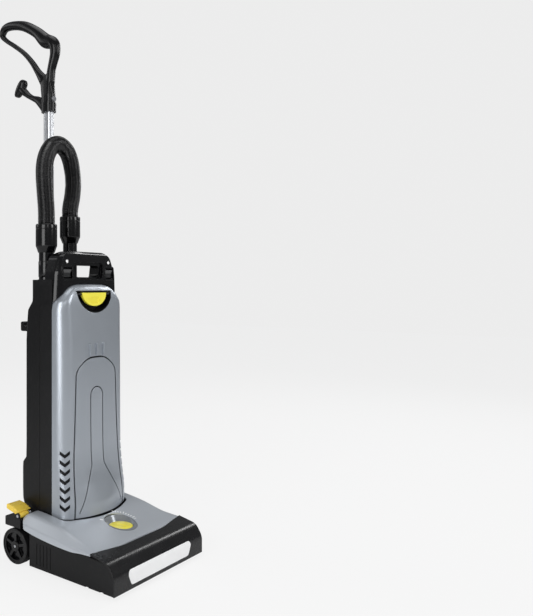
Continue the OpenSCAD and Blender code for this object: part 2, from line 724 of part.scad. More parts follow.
module rear_housing() color(black) from_front() difference() {
    union() {
        difference() {
            rear_form(0, seam_y + seam, housing_floor, ledge_z);
            rear_form(wall, seam_y - 5, housing_floor + wall, ledge_z - wall);
        }
        // Collar that guides the handle tube
        tube_oval(4, ledge_z - wall, ledge_z + 28);
        // Lower guide of the handle tube inside the spine
        intersection() {
            rear_form(wall - 0.2, tube_y - 20, housing_floor + wall, ledge_z - wall);
            block([-40, 40], [tube_y - 20, spine_y], guide_z);
        }
        translate([gland_x, gland_y, gland_z]) rotate([-90, 0, 0]) cylinder(16, r = 13, $fn = 48);
    }
    tube_oval(0.3, guide_z[0] - 5, ledge_z + 40);
    translate([duct_x, wand_y, ledge_z - 10]) cylinder(20, r = riser_r + 0.3, $fn = 64);
    translate([inlet_x, inlet_y, ledge_z - 10]) cylinder(20, r = inlet_r + 0.3, $fn = 64);
    // Slots for the pivot arms and the knuckle pipe
    both_sides() block([arm_x[0] - 0.5, arm_x[1] + 0.5], [axle_y - 16, axle_y + 16],
        [0, housing_floor + wall + eps]);
    translate([duct_x, axle_y - 3.5, 0]) cylinder(housing_floor + 10, r = riser_r + 0.3, $fn = 64);
    translate([gland_x, gland_y - 5, gland_z]) rotate([-90, 0, 0]) cylinder(40, r = 8.02, $fn = 48);
    // Seat of the gland's flange in the slanting wall
    translate([gland_x, gland_y + 16, gland_z]) rotate([-90, 0, 0]) cylinder(40, r = 11.3, $fn = 48);
    for (z = spine_screw_z) translate([0, spine_y - 3.4, z]) rotate([-90, 0, 0])
        cylinder(10, r = 4, $fn = 32);
    // Seat of the lower cable hook
    translate([0, spine_y - wall - 1, hook_z]) rotate([-90, 0, 0]) cylinder(10, r = 5 + run, $fn = 32);
}

module pivot_yoke() color(charcoal) from_front() difference() {
    union() {
        translate([0, 0, yoke_z[0]]) linear_extrude(yoke_z[1] - yoke_z[0])
            polygon(rounded(mirrored([[64, hinge_y + 9, 6], [yoke_hw, seam_y - 3, 6],
                [yoke_hw, axle_y + 17.5, 6]])));
        both_sides() {
            across(arm_x[0], arm_x[1]) polygon(rounded([
                [axle_y - 15, yoke_z[1], 0], [axle_y - 15, axle_z, 0], [axle_y + 15, axle_z, 0],
                [axle_y + 15, yoke_z[1], 0]]));
            rod(arm_x[0], arm_x[1], axle_y, axle_z, 15);
            block([40, 51], [hinge_y - 0.5, hinge_y + 12], [hinge_z - 4, yoke_z[1]]);
            rod(50, 57.5, hinge_y, hinge_z, 3, 32);
        }
    }
    rod(-200, 200, axle_y, axle_z, bush_r + 0.02);
    translate([duct_x, axle_y - 3.5, 0]) cylinder(200, r = riser_r + 0.3, $fn = 64);
}

module pivot_bushes() color([0.75, 0.6, 0.3]) from_front() both_sides() difference() {
    rod(arm_x[0] - 1, arm_x[1] + 1, axle_y, axle_z, bush_r);
    rod(arm_x[0] - 2, arm_x[1] + 2, axle_y, axle_z, axle_r + run);
}

motor_wall_hw = body_hw - 19;
motor_wall_y = seam_y - 7;
filter_hw = body_hw - 27;
filter_z = [132, 248];
module motor_cover() color(charcoal) from_front() difference() {
    union() {
        intersection() {
            rear_form(wall + 0.02, seam_y - 3, housing_floor + wall, ledge_z - wall);
            block([-200, 200], [seam_y - 3, spine_y], [partition_z, partition_z + 4]);
        }
        block([-motor_wall_hw, motor_wall_hw], [motor_wall_y, motor_wall_y + wall],
            [yoke_z[1], partition_z + 4]);
        block([-motor_wall_hw, motor_wall_hw], [motor_wall_y, seam_y + 1], [partition_z, partition_z + 4]);
    }
    translate([duct_x, wand_y, 0]) cylinder(400, r = riser_r + 0.05, $fn = 64);
    translate([fan_x, fan_y, partition_z - 5]) cylinder(20, r = 34, $fn = 48);
    block([-filter_hw + 6, filter_hw - 6], [motor_wall_y - 8, seam_y], [filter_z[0] + 8, filter_z[1] - 8]);
    tube_oval(2, partition_z - 5, partition_z + 10);
}

module suction_motor() color(steel) from_front() translate([fan_x, fan_y, 0]) difference() {
    union() {
        translate([0, 0, motor_base]) cylinder(90, r = fan_r - 9, $fn = 64);
        translate([0, 0, motor_base + 88]) cylinder(motor_top - motor_base - 88, r = fan_r, $fn = 64);
    }
    translate([0, 0, motor_base + 6]) cylinder(86, r = fan_r - 13, $fn = 64);
    translate([0, 0, motor_base + 92]) cylinder(motor_top - motor_base - 98, r = fan_r - 3, $fn = 64);
    translate([0, 0, motor_base + 100]) cylinder(60, r = 20, $fn = 48);
    translate([0, 0, motor_base + 2]) cylinder(10, r = shaft_r + run, $fn = 32);
    for (a = [0:45:315]) rotate([0, 0, a]) translate([30, -4, motor_base + 20]) cube([30, 8, 50]);
}

module motor_rotor() color(steel) from_front() translate([fan_x, fan_y, motor_base]) {
    translate([0, 0, 2.5]) cylinder(motor_top - motor_base - 12, r = shaft_r, $fn = 32);
    translate([0, 0, 22]) cylinder(52, r = 26, $fn = 48);
    difference() {
        translate([0, 0, 98]) cylinder(20, r = fan_r - 6, $fn = 64);
        for (a = [0:30:330]) rotate([0, 0, a]) translate([12, 2, 101]) cube([40, 4, 14]);
    }
}

module motor_mounts() color(black) from_front() translate([fan_x, fan_y, 0]) {
    difference() {
        translate([0, 0, yoke_z[1]]) cylinder(motor_base - yoke_z[1], r = fan_r - 9, $fn = 48);
        translate([0, 0, yoke_z[1] - 1]) cylinder(20, r = fan_r - 18, $fn = 48);
    }
    difference() {
        translate([0, 0, motor_top]) cylinder(8, r = fan_r, $fn = 48);
        translate([0, 0, motor_top - 1]) cylinder(20, r = fan_r - 10, $fn = 48);
    }
}

module motor_filter() color([0.3, 0.45, 0.6]) from_front() translate([fan_x, fan_y, motor_top + 8])
    cylinder(partition_z - motor_top - 8, r = fan_r - 2, $fn = 48);

module exhaust_filter() color(white) from_front() difference() {
    block([-filter_hw, filter_hw], [motor_wall_y - 21, motor_wall_y], filter_z);
    for (x = [6 - filter_hw:12:filter_hw - 12])
        block([x, x + 6], [motor_wall_y - 28, motor_wall_y - 9], [filter_z[0] + 6, filter_z[1] - 6]);
}

bag_x = body_hw - 17;
collar_y = inlet_y - 37;
collar_c = [inlet_x, 530];
// Sections of the filled bag: height, share of the width, front, back
bag_sections = [
    [partition_z + 11, 0.8, seam_y - 9, collar_y - 18], [partition_z + 30, 0.96, seam_y - 18, collar_y - 8],
    [420, 1, seam_y - 23, collar_y - 5],
    [500, 0.98, seam_y - 20, collar_y - 6], [530, 0.95, seam_y - 1, collar_y - 7],
    [576, 0.8, seam_y + 1, collar_y - 14], [584, 0.5, seam_y + 5, collar_y - 20]
];
function bag_section(s) =
    let(outline = rounded(mirrored([[bag_x * s[1], s[3], 7], [bag_x * s[1], s[2], 7]]), 4))
    [for (p = outline) [p[0], p[1], s[0]]];

module dust_bag() color([0.86, 0.82, 0.72]) from_front() skin([for (s = bag_sections) bag_section(s)]);

module bag_collar() color([0.72, 0.60, 0.42]) from_front() difference() {
    block([collar_c[0] - 40, collar_c[0] + 40], [collar_y - 4.6, collar_y],
        [collar_c[1] - 45, collar_c[1] + 45]);
    translate([collar_c[0], collar_y - 10, collar_c[1]]) rotate([-90, 0, 0])
        cylinder(20, r = inlet_r + 0.1, $fn = 48);
}

// Knuckle that turns in the socket of the head's duct, and the pipe up to the wand socket
module riser_duct() color(charcoal) from_front() difference() {
    union() {
        rod(duct_x - duct_hw - 2.5, duct_x + duct_hw + 2.5, axle_y, axle_z, knuckle_r, 64);
        translate([duct_x, axle_y - 3.5, axle_z + 10])
            cylinder(yoke_z[1] + 12 - axle_z, r = riser_r, $fn = 64);
        translate([duct_x, wand_y, yoke_z[1] + 6]) cylinder(ledge_z - 5 - yoke_z[1], r = riser_r, $fn = 64);
    }
    translate([duct_x, axle_y - 3.5, axle_z + 10])
        cylinder(yoke_z[1] + 4 - axle_z, r = wand_r - 3, $fn = 64);
    translate([duct_x, wand_y, yoke_z[1] + 9]) cylinder(600, r = wand_r - 3, $fn = 64);
    translate([duct_x, wand_y, wand_stop]) cylinder(100, r = wand_r + 0.2, $fn = 64);
    rod(duct_x - duct_hw, duct_x + duct_hw, axle_y, axle_z, knuckle_r - 2.5, 64);
    // Window that faces the duct at every lean of the body
    difference() {
        block([duct_x - duct_hw, duct_x + duct_hw], [axle_y - 40, axle_y], [axle_z - 40, axle_z + 12]);
        translate([0, axle_y, axle_z]) rotate([24, 0, 0]) block([-200, 0], [-60, 0], [0, 60]);
    }
}

// ---- carry handle and controls ----

grip_y = [seam_y - 17, seam_y + 25];
control_x = body_hw - 34;
control_z = ledge_z + 15;
window_z = ledge_z + 6;
window_depth = 32;
rocker_tilt = 7;
board_x = [control_x - 19, control_x + 7];

module top_housing() color(black) from_front() difference() {
    skin([grip_ring(grip_y[0], 0), grip_ring(seam_y - 2, 14), grip_ring(grip_y[1], 15)]);
    // Underside clears the rising edge of the front cover and seats on the ledge
    translate([0, 0, 2.2]) cover_form(-0.5, seam_y + 2);
    block([-200, 200], [seam_y, 400], [0, ledge_z]);
    // Leaning front face and rounded crown
    across(-200, 200) polygon([[grip_y[0] - 5, cover_top - 5], [grip_y[0], cover_top + 1],
        [grip_y[0] + 8, grip_top - 8], [grip_y[0] + 16, grip_top + 1], [grip_y[0] - 5, grip_top + 1]]);
    across(-200, 200) polygon([[grip_y[1] + 1, grip_top - 16], [grip_y[1] - 10, grip_top + 1],
        [grip_y[1] + 1, grip_top + 1]]);
    // Hand opening, straight through
    in_depth(0, 400) window_outline(0);
    // Room behind the bar for the fingers
    in_depth(grip_y[0] + window_depth, 400) window_outline(6);
    // Recess round the opening
    in_depth(0, grip_y[0] + 9) window_outline(8);
    // Wells of the rockers and of the lamps
    for (s = [-1, 1]) {
        block([s * control_x - 14, s * control_x + 14], [grip_y[0] - 5, grip_y[0] + 16],
            [control_z - 12, control_z + 12]);
        translate([s * control_x, 0, control_z + 25]) rotate([-90, 0, 0])
            cylinder(grip_y[0] + 14, r = 3.6, $fn = 32);
    }
    block([-board_x[1], -board_x[0]], [grip_y[0] + 25, grip_y[1] - 8], [ledge_z + 4, control_z + 10]);
}

// Outline of the carry handle at depth y, spread sideways
function grip_ring(y, spread) =
    [for (p = rounded(mirrored([
        [body_hw - 15 + spread, cover_top - 40, 0], [body_hw - 17 + spread * 0.8, control_z, 30],
        [body_hw - 36 + spread * 1.2, grip_top - 10, 25], [body_hw - 58 + spread, grip_top, 40]]), 4))
        [p[0], y, p[1]]];

module window_outline(grow) polygon(rounded(mirrored([
    [window_hw + grow, window_z + window_h + min(grow, 7), 6],
    [window_hw - 5 + grow, window_z - min(grow, 3), 10]])));

module control_board() color([0.1, 0.4, 0.2]) from_front()
    block([-board_x[1] + 1, -board_x[0] - 1], [grip_y[1] - 10, grip_y[1] - 8], [ledge_z + 5, control_z + 9]);

module indicator_lamps() color([0.9, 0.95, 0.9]) from_front() for (s = [-1, 1])
    translate([s * control_x, grip_y[0] + 4, control_z + 25]) rotate([-90, 0, 0])
        cylinder(10, r = 3.5, $fn = 32);

// A rocker tipped to its off side, with its pivot pin
module rocker() {
    rod(-13.7, 13.7, 0, 0, 2, 24);
    across(-12.5, 12.5) rotate(rocker_tilt) polygon(rounded([[-6, -9.5, 1.5], [-4, 0, 20], [-6, 9.5, 1.5],
        [3, 9, 1], [3, -9, 1]]));
}

module power_rocker() color([0.15, 0.15, 0.16]) from_front()
    translate([-control_x, grip_y[0] + 9, control_z]) rocker();

module brush_rocker() color([0.15, 0.15, 0.16]) from_front()
    translate([control_x, grip_y[0] + 9, control_z]) rocker();

// ---- hose and wand ----

// Route of the stowed hose from the wand cuff over its arch to the inlet cuff
hose_route = [
    [-60, 275, 737.2], [-60, 275, 745], [-60, 275, 757], [-61, 275, 777],
    [-64, 275, 805], [-67, 275, 840], [-65, 276, 870],
    [-57, 276, 895], [-42, 277, 914], [-22, 279, 923], [-3, 282, 922], [17, 285, 912], [32, 288, 893],
    [42, 291, 868], [46, 292, 840], [44, 293, 812], [38, 293, 787],
    [36, 293, 775], [36, 293, 768], [36, 293, 762.2]
];
rib_sides = 8;

// Each rib is a pair of rings, one at the crest and one in the valley before the next
module suction_hose() color(black) from_front() {
    n = 2 * rib_count;
    fine = smooth(hose_route, 8);
    line = evenly(fine, n);
    f = frames(line, [1, 0, 0]);
    crest = [for (i = [0:n]) (hose_d / 2 - (i % 2 == 0 ? 1.6 : 0))];
    outer = tube_rings(f, crest, rib_sides);
    inner = tube_rings(f, [for (i = [0:n]) hose_bore / 2], rib_sides);
    hollow_skin(outer, inner);
}

// Running length along a line, and n + 1 points spaced evenly along it
function lengths(p, i = 1, sum = 0) =
    i > len(p) - 1 ? [sum] : concat([sum], lengths(p, i + 1, sum + norm(p[i] - p[i - 1])));
function evenly(p, n) =
    let(s = lengths(p), total = s[len(s) - 1])
    [for (k = [0:n])
        let(
            at = total * k / n,
            i = min(len(p) - 2, max([for (j = [0:len(s) - 1]) if (s[j] <= at + eps / 10) j])),
            t = (at - s[i]) / (s[i + 1] - s[i])
        )
        p[i] + t * (p[i + 1] - p[i])];

// A tube wall between outer and inner rings, the inner taken every tenth ring
module hollow_skin(outer, inner) {
    n = len(outer[0]);
    m = len(outer);
    step = 10;
    picked = [for (k = [0:step:m - 1]) k];
    q = len(picked);
    points = concat([for (r = outer) each r], [for (k = picked) each inner[k]]);
    first = m * n;
    outside = [for (k = [0:m - 2], i = [0:n - 1])
        let(a = k * n + i, b = k * n + (i + 1) % n) each [[a, b, b + n], [a, b + n, a + n]]];
    inside = [for (k = [0:q - 2], i = [0:n - 1])
        let(a = first + k * n + i, b = first + k * n + (i + 1) % n) each [[a, b + n, b], [a, a + n, b + n]]];
    start = [for (i = [0:n - 1]) let(j = (i + 1) % n) each [[i, first + j, j], [i, first + i, first + j]]];
    o = (m - 1) * n;
    e = first + (q - 1) * n;
    end = [for (i = [0:n - 1]) let(j = (i + 1) % n) each [[o + i, o + j, e + j], [o + i, e + j, e + i]]];
    polyhedron(points, concat(outside, inside, start, end));
}

// A cuff that tapers to the pipe below it: x, y, lower end, top, pipe radius
module cuff(x, y, low, top, pipe_r) translate([x, y, 0]) rotate_extrude($fn = 64) polygon([
    [pipe_r + 0.05, low], [pipe_r + 1.6, low], [cuff_d / 2 - 1, low + 13], [cuff_d / 2, low + 15],
    [cuff_d / 2, top - 2],
    [cuff_d / 2 - 2, top], [hose_bore / 2, top], [hose_bore / 2, top - 12], [pipe_r + 0.05, top - 12]]);

wand_cuff_z = [673, 737];
inlet_cuff_z = [699, 762];

module wand_cuff() color(black) from_front() cuff(duct_x, wand_y, wand_cuff_z[0], wand_cuff_z[1], wand_r);

module inlet_cuff() color(black) from_front()
    cuff(inlet_x, inlet_y, inlet_cuff_z[0], inlet_cuff_z[1], inlet_r);

module wand_tube() color(black) from_front() translate([duct_x, wand_y, 0]) difference() {
    union() {
        translate([0, 0, wand_stop]) cylinder(wand_cuff_z[1] - 12 - wand_stop, r = wand_r, $fn = 64);
        translate([0, 0, ledge_z + 6]) cylinder(36, r = wand_r + 1, $fn = 64);
    }
    translate([0, 0, wand_stop - 1]) cylinder(300, r = wand_r - 2, $fn = 64);
}

// Pipe from the inlet cuff down behind the carry handle and forward to the bag's collar
module inlet_pipe() color(black) from_front() difference() {
    union() {
        translate([inlet_x, inlet_y, collar_c[1]])
            cylinder(inlet_cuff_z[1] - 12 - collar_c[1], r = inlet_r, $fn = 64);
        translate([inlet_x, inlet_y, collar_c[1]]) sphere(inlet_r, $fn = 64);
        translate([inlet_x, collar_y - 6, collar_c[1]]) rotate([-90, 0, 0])
            cylinder(inlet_y - collar_y + 6, r = inlet_r, $fn = 64);
        translate([inlet_x, collar_y, collar_c[1]]) rotate([-90, 0, 0])
            cylinder(4, r = inlet_r + 5, $fn = 64);
    }
    translate([inlet_x, inlet_y, collar_c[1]]) cylinder(300, r = inlet_r - 2, $fn = 64);
    translate([inlet_x, inlet_y, collar_c[1]]) sphere(inlet_r - 2, $fn = 64);
    translate([inlet_x, collar_y - 20, collar_c[1]]) rotate([-90, 0, 0])
        cylinder(inlet_y - collar_y + 20, r = inlet_r - 2, $fn = 64);
}

gland_bore = 4.6;
module cable_gland() color(black) from_front() translate([gland_x, gland_y, gland_z])
    rotate([-90, 0, 0]) difference() {
    union() {
        translate([0, 0, -4]) cylinder(24, r = 8, $fn = 48);
        translate([0, 0, 16]) cylinder(4, r = 11, $fn = 48);
        translate([0, 0, 20]) cylinder(8, r1 = 9, r2 = 7, $fn = 48);
    }
    translate([0, 0, -5]) cylinder(40, r = gland_bore, $fn = 48);
}

module body_screws() color(steel) from_front() for (z = spine_screw_z)
    translate([0, spine_y - 3.4, z]) rotate([-90, 0, 0]) difference() {
        cylinder(3, r = 3.9, $fn = 32);
        translate([-2.5, -0.5, 2]) cube([5, 1, 2]);
    }

// ---- front cover ----

panel_gap = 2.2;
latch_hw = 57;
latch_z = cover_top - 16;
flap_hw = 41;
flap_h = 33;
latch_y = 184;
latch_pin_y = latch_y + 3.5;
vent_pitch = 18.6;
vent_count = 7;
vent_z = 128;

module panel_outline(grow) polygon(rounded(mirrored([
    [panel_hw + 15 + grow, foot_z - 10, 0], [panel_hw + 13 + grow, 150, 0], [panel_hw + 5 + grow, 290, 0],
    [panel_hw + grow, panel_top - 28, 30], [panel_hw - 38, panel_top + grow, 60]]), 5));

module latch_outline(grow) polygon([for (a = [180:12:360])
    [(latch_hw + grow) * cos(a), latch_z + grow + (latch_hw - 8 + 2 * grow) * sin(a)]]);

// V-shaped vent slots on the rounded corners
module vent_slots() both_sides() for (i = [0:vent_count - 1])
    translate([body_hw - 6, 182, vent_z + i * vent_pitch]) rotate([0, 0, 45])
        in_depth(-30, 14) polygon([[-11, 7], [0, -1], [11, 7], [11, -1], [0, -9], [-11, -1]]);

module front_cover() color(grey) from_front() difference() {
    union() {
        difference() {
            cover_form(0, seam_y);
            cover_form(cover_t, seam_y + 20, 5);
            vent_slots();
            in_depth(0, seam_y - 12) panel_outline(0);
            in_depth(0, seam_y - 5) latch_outline(0.2);
        }
        // Three short ribs above the arch
        for (x = [-22, 0, 22]) intersection() {
            cover_form(-1.5, seam_y);
            block([x - 1.5, x + 1.5], [150, 180], [panel_top + 2, panel_top + 27]);
        }
        // Rim behind the panel's groove
        intersection() {
            difference() {
                cover_form(cover_t - 0.2, seam_y);
                cover_form(cover_t + 2.5, seam_y + 20, 5);
            }
            in_depth(0, seam_y - 12) difference() {
                panel_outline(4);
                panel_outline(-4);
            }
        }
    }
}

bottle_hw = 20;
bottle_top = 375;
bottle_low = 205;

module bottle_line(t) polygon(rounded(mirrored([
    [bottle_hw + 50 + t, 112, 0], [bottle_hw + t, bottle_low, 20],
    [bottle_hw + t, bottle_top + t, bottle_hw - 1 + t]]), 6));

module arch_panel() color(grey) from_front() difference() {
    union() {
        intersection() {
            difference() {
                cover_form(0, seam_y);
                cover_form(cover_t - 0.5, seam_y + 20, 5);
            }
            in_depth(0, seam_y - 14) panel_outline(-panel_gap);
        }
        // Hinge ears at the foot
        both_sides() block([hinge_x[0], hinge_x[1]], [hinge_y - 3, hinge_y + 5],
            [foot_z + 0.5, hinge_z + 6]);
    }
    both_sides() rod(hinge_x[0] - 4, hinge_x[1] + 0.3, hinge_y, hinge_z, 3 + run, 32);
    block([-200, 200], [0, 400], [0, foot_z + 0.5]);
    // Groove in the shape of a bottle
    intersection() {
        difference() {
            cover_form(-2, seam_y);
            cover_form(0.6, seam_y + 20, 5);
        }
        in_depth(0, seam_y - 14) difference() {
            bottle_line(0.8);
            bottle_line(-0.8);
        }
    }
}

module latch_bezel() color(black) from_front() difference() {
    intersection() {
        cover_form(0.4, seam_y + 20);
        in_depth(0, 211) latch_outline(0);
    }
    in_depth(0, 208) latch_outline(-2);
}

module cover_latch() color(yellow) from_front() difference() {
    union() {
        across(-flap_hw, flap_hw) polygon([[latch_y, latch_z - 4.5], [latch_y + 6, latch_z - 4.5],
            [latch_y + 4, latch_z - flap_h], [latch_y - 2, latch_z - flap_h]]);
        rod(-latch_hw + 3.3, latch_hw - 3.3, latch_pin_y, latch_z - 7.5, 2.5, 32);
        block([-8, 8], [latch_y + 5, latch_y + 14], [latch_z - 9, latch_z - 4.5]);
    }
    in_depth(0, 400) difference() {
        translate([-60, latch_z - 60]) square([120, 56]);
        polygon(concat([for (a = [180:10:360]) [flap_hw * cos(a), latch_z - 3 + (flap_h - 3) * sin(a)]],
            [[60, latch_z], [-60, latch_z]]));
        translate([-latch_hw, latch_z - 10.5]) square([2 * latch_hw, 10.5]);
    }
}

module cover_seal() color(charcoal) from_front() in_depth(seam_y + 1, seam_y + 4) difference() {
    polygon(rounded(mirrored([[body_hw - wall, partition_z + 4, 4], [body_hw - wall, ledge_z - wall, 4]])));
    polygon(rounded(mirrored([[body_hw - wall - 4, partition_z + 8, 4],
        [body_hw - wall - 4, ledge_z - wall - 4, 4]])));
}

// ---- handle ----

tube_low = 400;
tube_top = collar_z + 34;
lock_z = collar_z + 30;
module handle_tube() color(steel) from_front() difference() {
    tube_oval(0, tube_low, tube_top);
    tube_oval(-tube_wall, tube_low - 1, tube_top + 1);
    for (s = [-1, 1]) block([s * tube_w / 2 - 0.5, s * tube_w / 2 + 0.5], [tube_y - 1, tube_y + 1],
        [tube_low - 1, tube_top + 1]);
}

// Loop of the grip: distance behind the tube's axis, height, half thickness and half width
loop_path = [
    [-4, 1078, 13, 0.75], [-10, 1110, 10, 0.75], [-21, 1145, 12.5, 0.85], [-16, 1168, 14, 1],
    [10, 1180, 17, 1], [38.5, 1205.5, 13.5, 1], [75, 1228, 12.5, 1], [105, 1239, 11, 0.95],
    [136, 1244.5, 10, 0.85], [155, 1242, 8.5, 0.75], [164, 1232, 7, 0.7]
];
strut_path = [
    [159, 1236, 5, 0.6], [164, 1226, 6.2, 0.65], [148, 1211, 5.5, 0.65], [118, 1191, 5.5, 0.65],
    [84, 1166, 5.5, 0.65],
    [56, 1138, 6, 0.7], [36, 1112, 7.5, 0.75], [14, 1085, 14, 0.8]
];
// Hook for the cord below the loop, and the head at its end
hook_path = [
    [8, 1024, 18, 0.8], [22, 1034, 13, 0.8], [37, 1044, 9, 0.75], [53, 1051, 6.5, 0.7], [70, 1061, 7, 0.7],
    [84, 1072, 9, 0.75], [94, 1080, 8, 0.7]
];
knob_path = [
    [110, 1063, 4.5, 0.4], [108, 1067, 8.5, 0.6], [102, 1075, 11, 0.75], [93, 1086, 12.5, 0.8],
    [86, 1095, 10.5, 0.75], [82.5, 1100, 5, 0.5]
];

// Rings of oval section along a path that lies in the machine's middle plane
function oval_rings(path, sides) =
    let(m = len(path))
    [for (i = [0:m - 1])
        let(
            a = path[max(0, i - 1)], b = path[min(m - 1, i + 1)],
            d = unit([b[0] - a[0], b[1] - a[1]]), p = path[i]
        )
        [for (k = [0:sides - 1])
            let(u = p[2] * cos(360 * k / sides))
            [grip_hw * p[3] * sin(360 * k / sides), tube_y + p[0] + u * d[1], p[1] - u * d[0]]]];

module loop_handle() color(black) from_front() difference() {
    union() {
        skin(oval_rings(smooth(loop_path, 3), 16));
        skin(oval_rings(smooth(strut_path, 3), 14));
        skin(oval_rings(smooth(hook_path, 3), 14));
        skin(oval_rings(smooth(knob_path, 3), 14));
        hull() {
            tube_oval(4, collar_z + 20, collar_z + 40);
            translate([0, tube_y + 6, 1094]) rotate([0, 90, 0])
                cylinder(18, r = 17, center = true, $fn = 32);
        }
        tube_oval(5.5, collar_z, collar_z + 22);
    }
    tube_oval(0.02, collar_z - 1, tube_top + 0.02);
    translate([0, tube_y - 40, lock_z]) rotate([-90, 0, 0]) cylinder(36, r = 6 + run, $fn = 32);
}

module lock_button() color([0.55, 0.56, 0.58]) from_front()
    translate([0, tube_y - 20, lock_z]) rotate([-90, 0, 0]) cylinder(5, r = 6, $fn = 32);

// Swivelling hook on the spine
module lower_cable_hook() color(black) from_front() translate([0, spine_y, hook_z]) {
    translate([0, -wall, 0]) rotate([-90, 0, 0]) cylinder(wall + 4, r = 5, $fn = 32);
    translate([0, 0.4, 0]) rotate([-90, 0, 0]) cylinder(8, r = 12, $fn = 48);
    across(-9, 9) polygon(rounded([[6, -11, 3], [70, -11, 5], [70, 12, 4], [59, 12, 4], [59, -1, 5],
        [6, 4, 3]]));
}

head_base();
sole_plate();
head_cover();
bumper();
bumper_strip();
axle_block_left();
axle_block_right();
wheel_axles();
brush_bearings();
brush_motor();
drive_belt();
dial_ring();
suction_duct();
pedal_pin();
pedal_spring();
head_screws();
left_wheel();
left_tyre();
right_wheel();
right_tyre();
brush_roller();
brush_bristles();
motor_pinion();
height_dial();
roller_carriage();
front_rollers();
release_pedal();
rear_housing();
pivot_yoke();
pivot_bushes();
motor_cover();
suction_motor();
motor_mounts();
motor_filter();
exhaust_filter();
dust_bag();
bag_collar();
riser_duct();
top_housing();
control_board();
indicator_lamps();
wand_tube();
wand_cuff();
suction_hose();
inlet_cuff();
inlet_pipe();
cable_gland();
body_screws();
front_cover();
arch_panel();
latch_bezel();
cover_seal();
cover_latch();
motor_rotor();
power_rocker();
brush_rocker();
handle_tube();
loop_handle();
lock_button();
lower_cable_hook();
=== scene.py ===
"""Looks of the upright vacuum cleaner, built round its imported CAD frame.

The outer pieces are modelled here and take the place of their CAD nodes. The inner nodes stay as they
are and only get their materials. Sizes are in millimetres and become metres in point(). Depths (y) count
from the front of the bumper, as in the part's source, and are shifted to put the origin in the middle.
"""

import json
import math

import bmesh
import bpy
import numpy as np
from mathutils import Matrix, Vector


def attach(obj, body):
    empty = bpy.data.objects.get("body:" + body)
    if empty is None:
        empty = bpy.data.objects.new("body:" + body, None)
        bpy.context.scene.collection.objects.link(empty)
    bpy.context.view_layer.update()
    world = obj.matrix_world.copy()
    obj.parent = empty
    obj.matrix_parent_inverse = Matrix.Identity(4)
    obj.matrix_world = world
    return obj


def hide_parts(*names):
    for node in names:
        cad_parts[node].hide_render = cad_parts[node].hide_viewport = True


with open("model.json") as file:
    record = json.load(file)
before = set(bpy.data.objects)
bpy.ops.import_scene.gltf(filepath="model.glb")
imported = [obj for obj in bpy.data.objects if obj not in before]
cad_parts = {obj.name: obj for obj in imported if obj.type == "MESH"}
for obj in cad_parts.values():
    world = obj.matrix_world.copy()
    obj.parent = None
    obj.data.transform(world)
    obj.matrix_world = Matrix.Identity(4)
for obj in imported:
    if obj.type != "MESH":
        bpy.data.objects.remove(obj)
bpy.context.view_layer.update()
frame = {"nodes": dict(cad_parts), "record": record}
scene = bpy.context.scene

# ------------ places that several pieces share

DEPTH_SHIFT = 249.0  # from the bumper's front to the model's middle
BODY_HW = 103  # half the upright body's width
HEAD_HW = 152.5  # half the floor head's width
FAR = 200  # past the machine on both sides
SEAM_Y = 215.0  # where the front cover meets the rear housing
HOUSING_FOOT, HOUSING_TOP = 104, 612
WALL = 3  # of the front cover and the rear housing
WAND = (-60, 275)  # x and y of the stowed wand
INLET = (36, 293)  # x and y of the inlet pipe
TUBE_Y = 328  # the handle tube's middle
GLAND = (68, 290, 588)  # where a power cord would enter
HOOK = (0, 345, 500)  # the lower cable hook's pivot
DIAL = (0, 108, 0)  # the height dial's axis
WHEEL = (0, 278.5, 38)  # the rear wheels' axis


def point(x, y, z):
    return (x / 1000, (y - DEPTH_SHIFT) / 1000, z / 1000)


def add_object(name, data):
    made = bpy.data.objects.new(name, data)
    scene.collection.objects.link(made)
    return made


# ------------ camera, light, floor

camera_data = bpy.data.cameras.new("view_camera")
camera_data.lens = 40.78
camera_data.sensor_width = 36
camera_data.shift_x = 0.270
camera_data.shift_y = -0.036
camera = add_object("view_camera", camera_data)
camera.location = (-1.1665, -1.0931, 0.5987)
camera.rotation_euler = (math.radians(90), 0, math.radians(-49.08))
scene.camera = camera
scene.view_settings.view_transform = "Standard"

LIGHTS = [
    # name, place, point that it faces, width and height in metres, watts
    ("key_left", (-2.5, -0.5, 1.05), (0, 0, 0.55), (1.3, 2.0), 36),
    ("key_front", (-1.5, -2.5, 1.9), (0, 0, 0.5), (0.8, 1.6), 9),
    ("fill_front", (0.9, -2.5, 1.75), (0, 0, 0.6), (0.9, 1.5), 26),
    ("rim_right", (2.4, -0.3, 1.9), (0, 0, 0.6), (0.4, 1.2), 15),
    ("rim_rear", (-1.2, 2.4, 1.9), (0, 0, 0.6), (1.0, 1.6), 9),
    ("top_soft", (0, 0, 3.2), (0, 0, 0), (1.8, 1.8), 18),
]


def empty_tree(owner):
    """The cleared node tree of a material or world."""
    owner.use_nodes = True
    owner.node_tree.nodes.clear()
    return owner.node_tree


def add_node(tree, kind, values=None, **settings):
    """A new shader node with the given settings and input values."""
    node = tree.nodes.new("ShaderNode" + kind)
    for name, value in settings.items():
        setattr(node, name, value)
    for name, value in (values or {}).items():
        node.inputs[name].default_value = value
    return node


def build_world():
    """Weak even light from all round. The camera sees a plain pale backdrop in its place."""
    world = bpy.data.worlds.new("studio")
    scene.world = world
    tree = empty_tree(world)
    soft = add_node(tree, "Background", {"Color": (0.93, 0.95, 0.97, 1), "Strength": 0.24})
    backdrop = add_node(tree, "Background", {"Color": (0.842, 0.842, 0.842, 1), "Strength": 1.0})
    mix = add_node(tree, "MixShader")
    tree.links.new(add_node(tree, "LightPath").outputs["Is Camera Ray"], mix.inputs[0])
    tree.links.new(soft.outputs[0], mix.inputs[1])
    tree.links.new(backdrop.outputs[0], mix.inputs[2])
    tree.links.new(mix.outputs[0], add_node(tree, "OutputWorld").inputs[0])


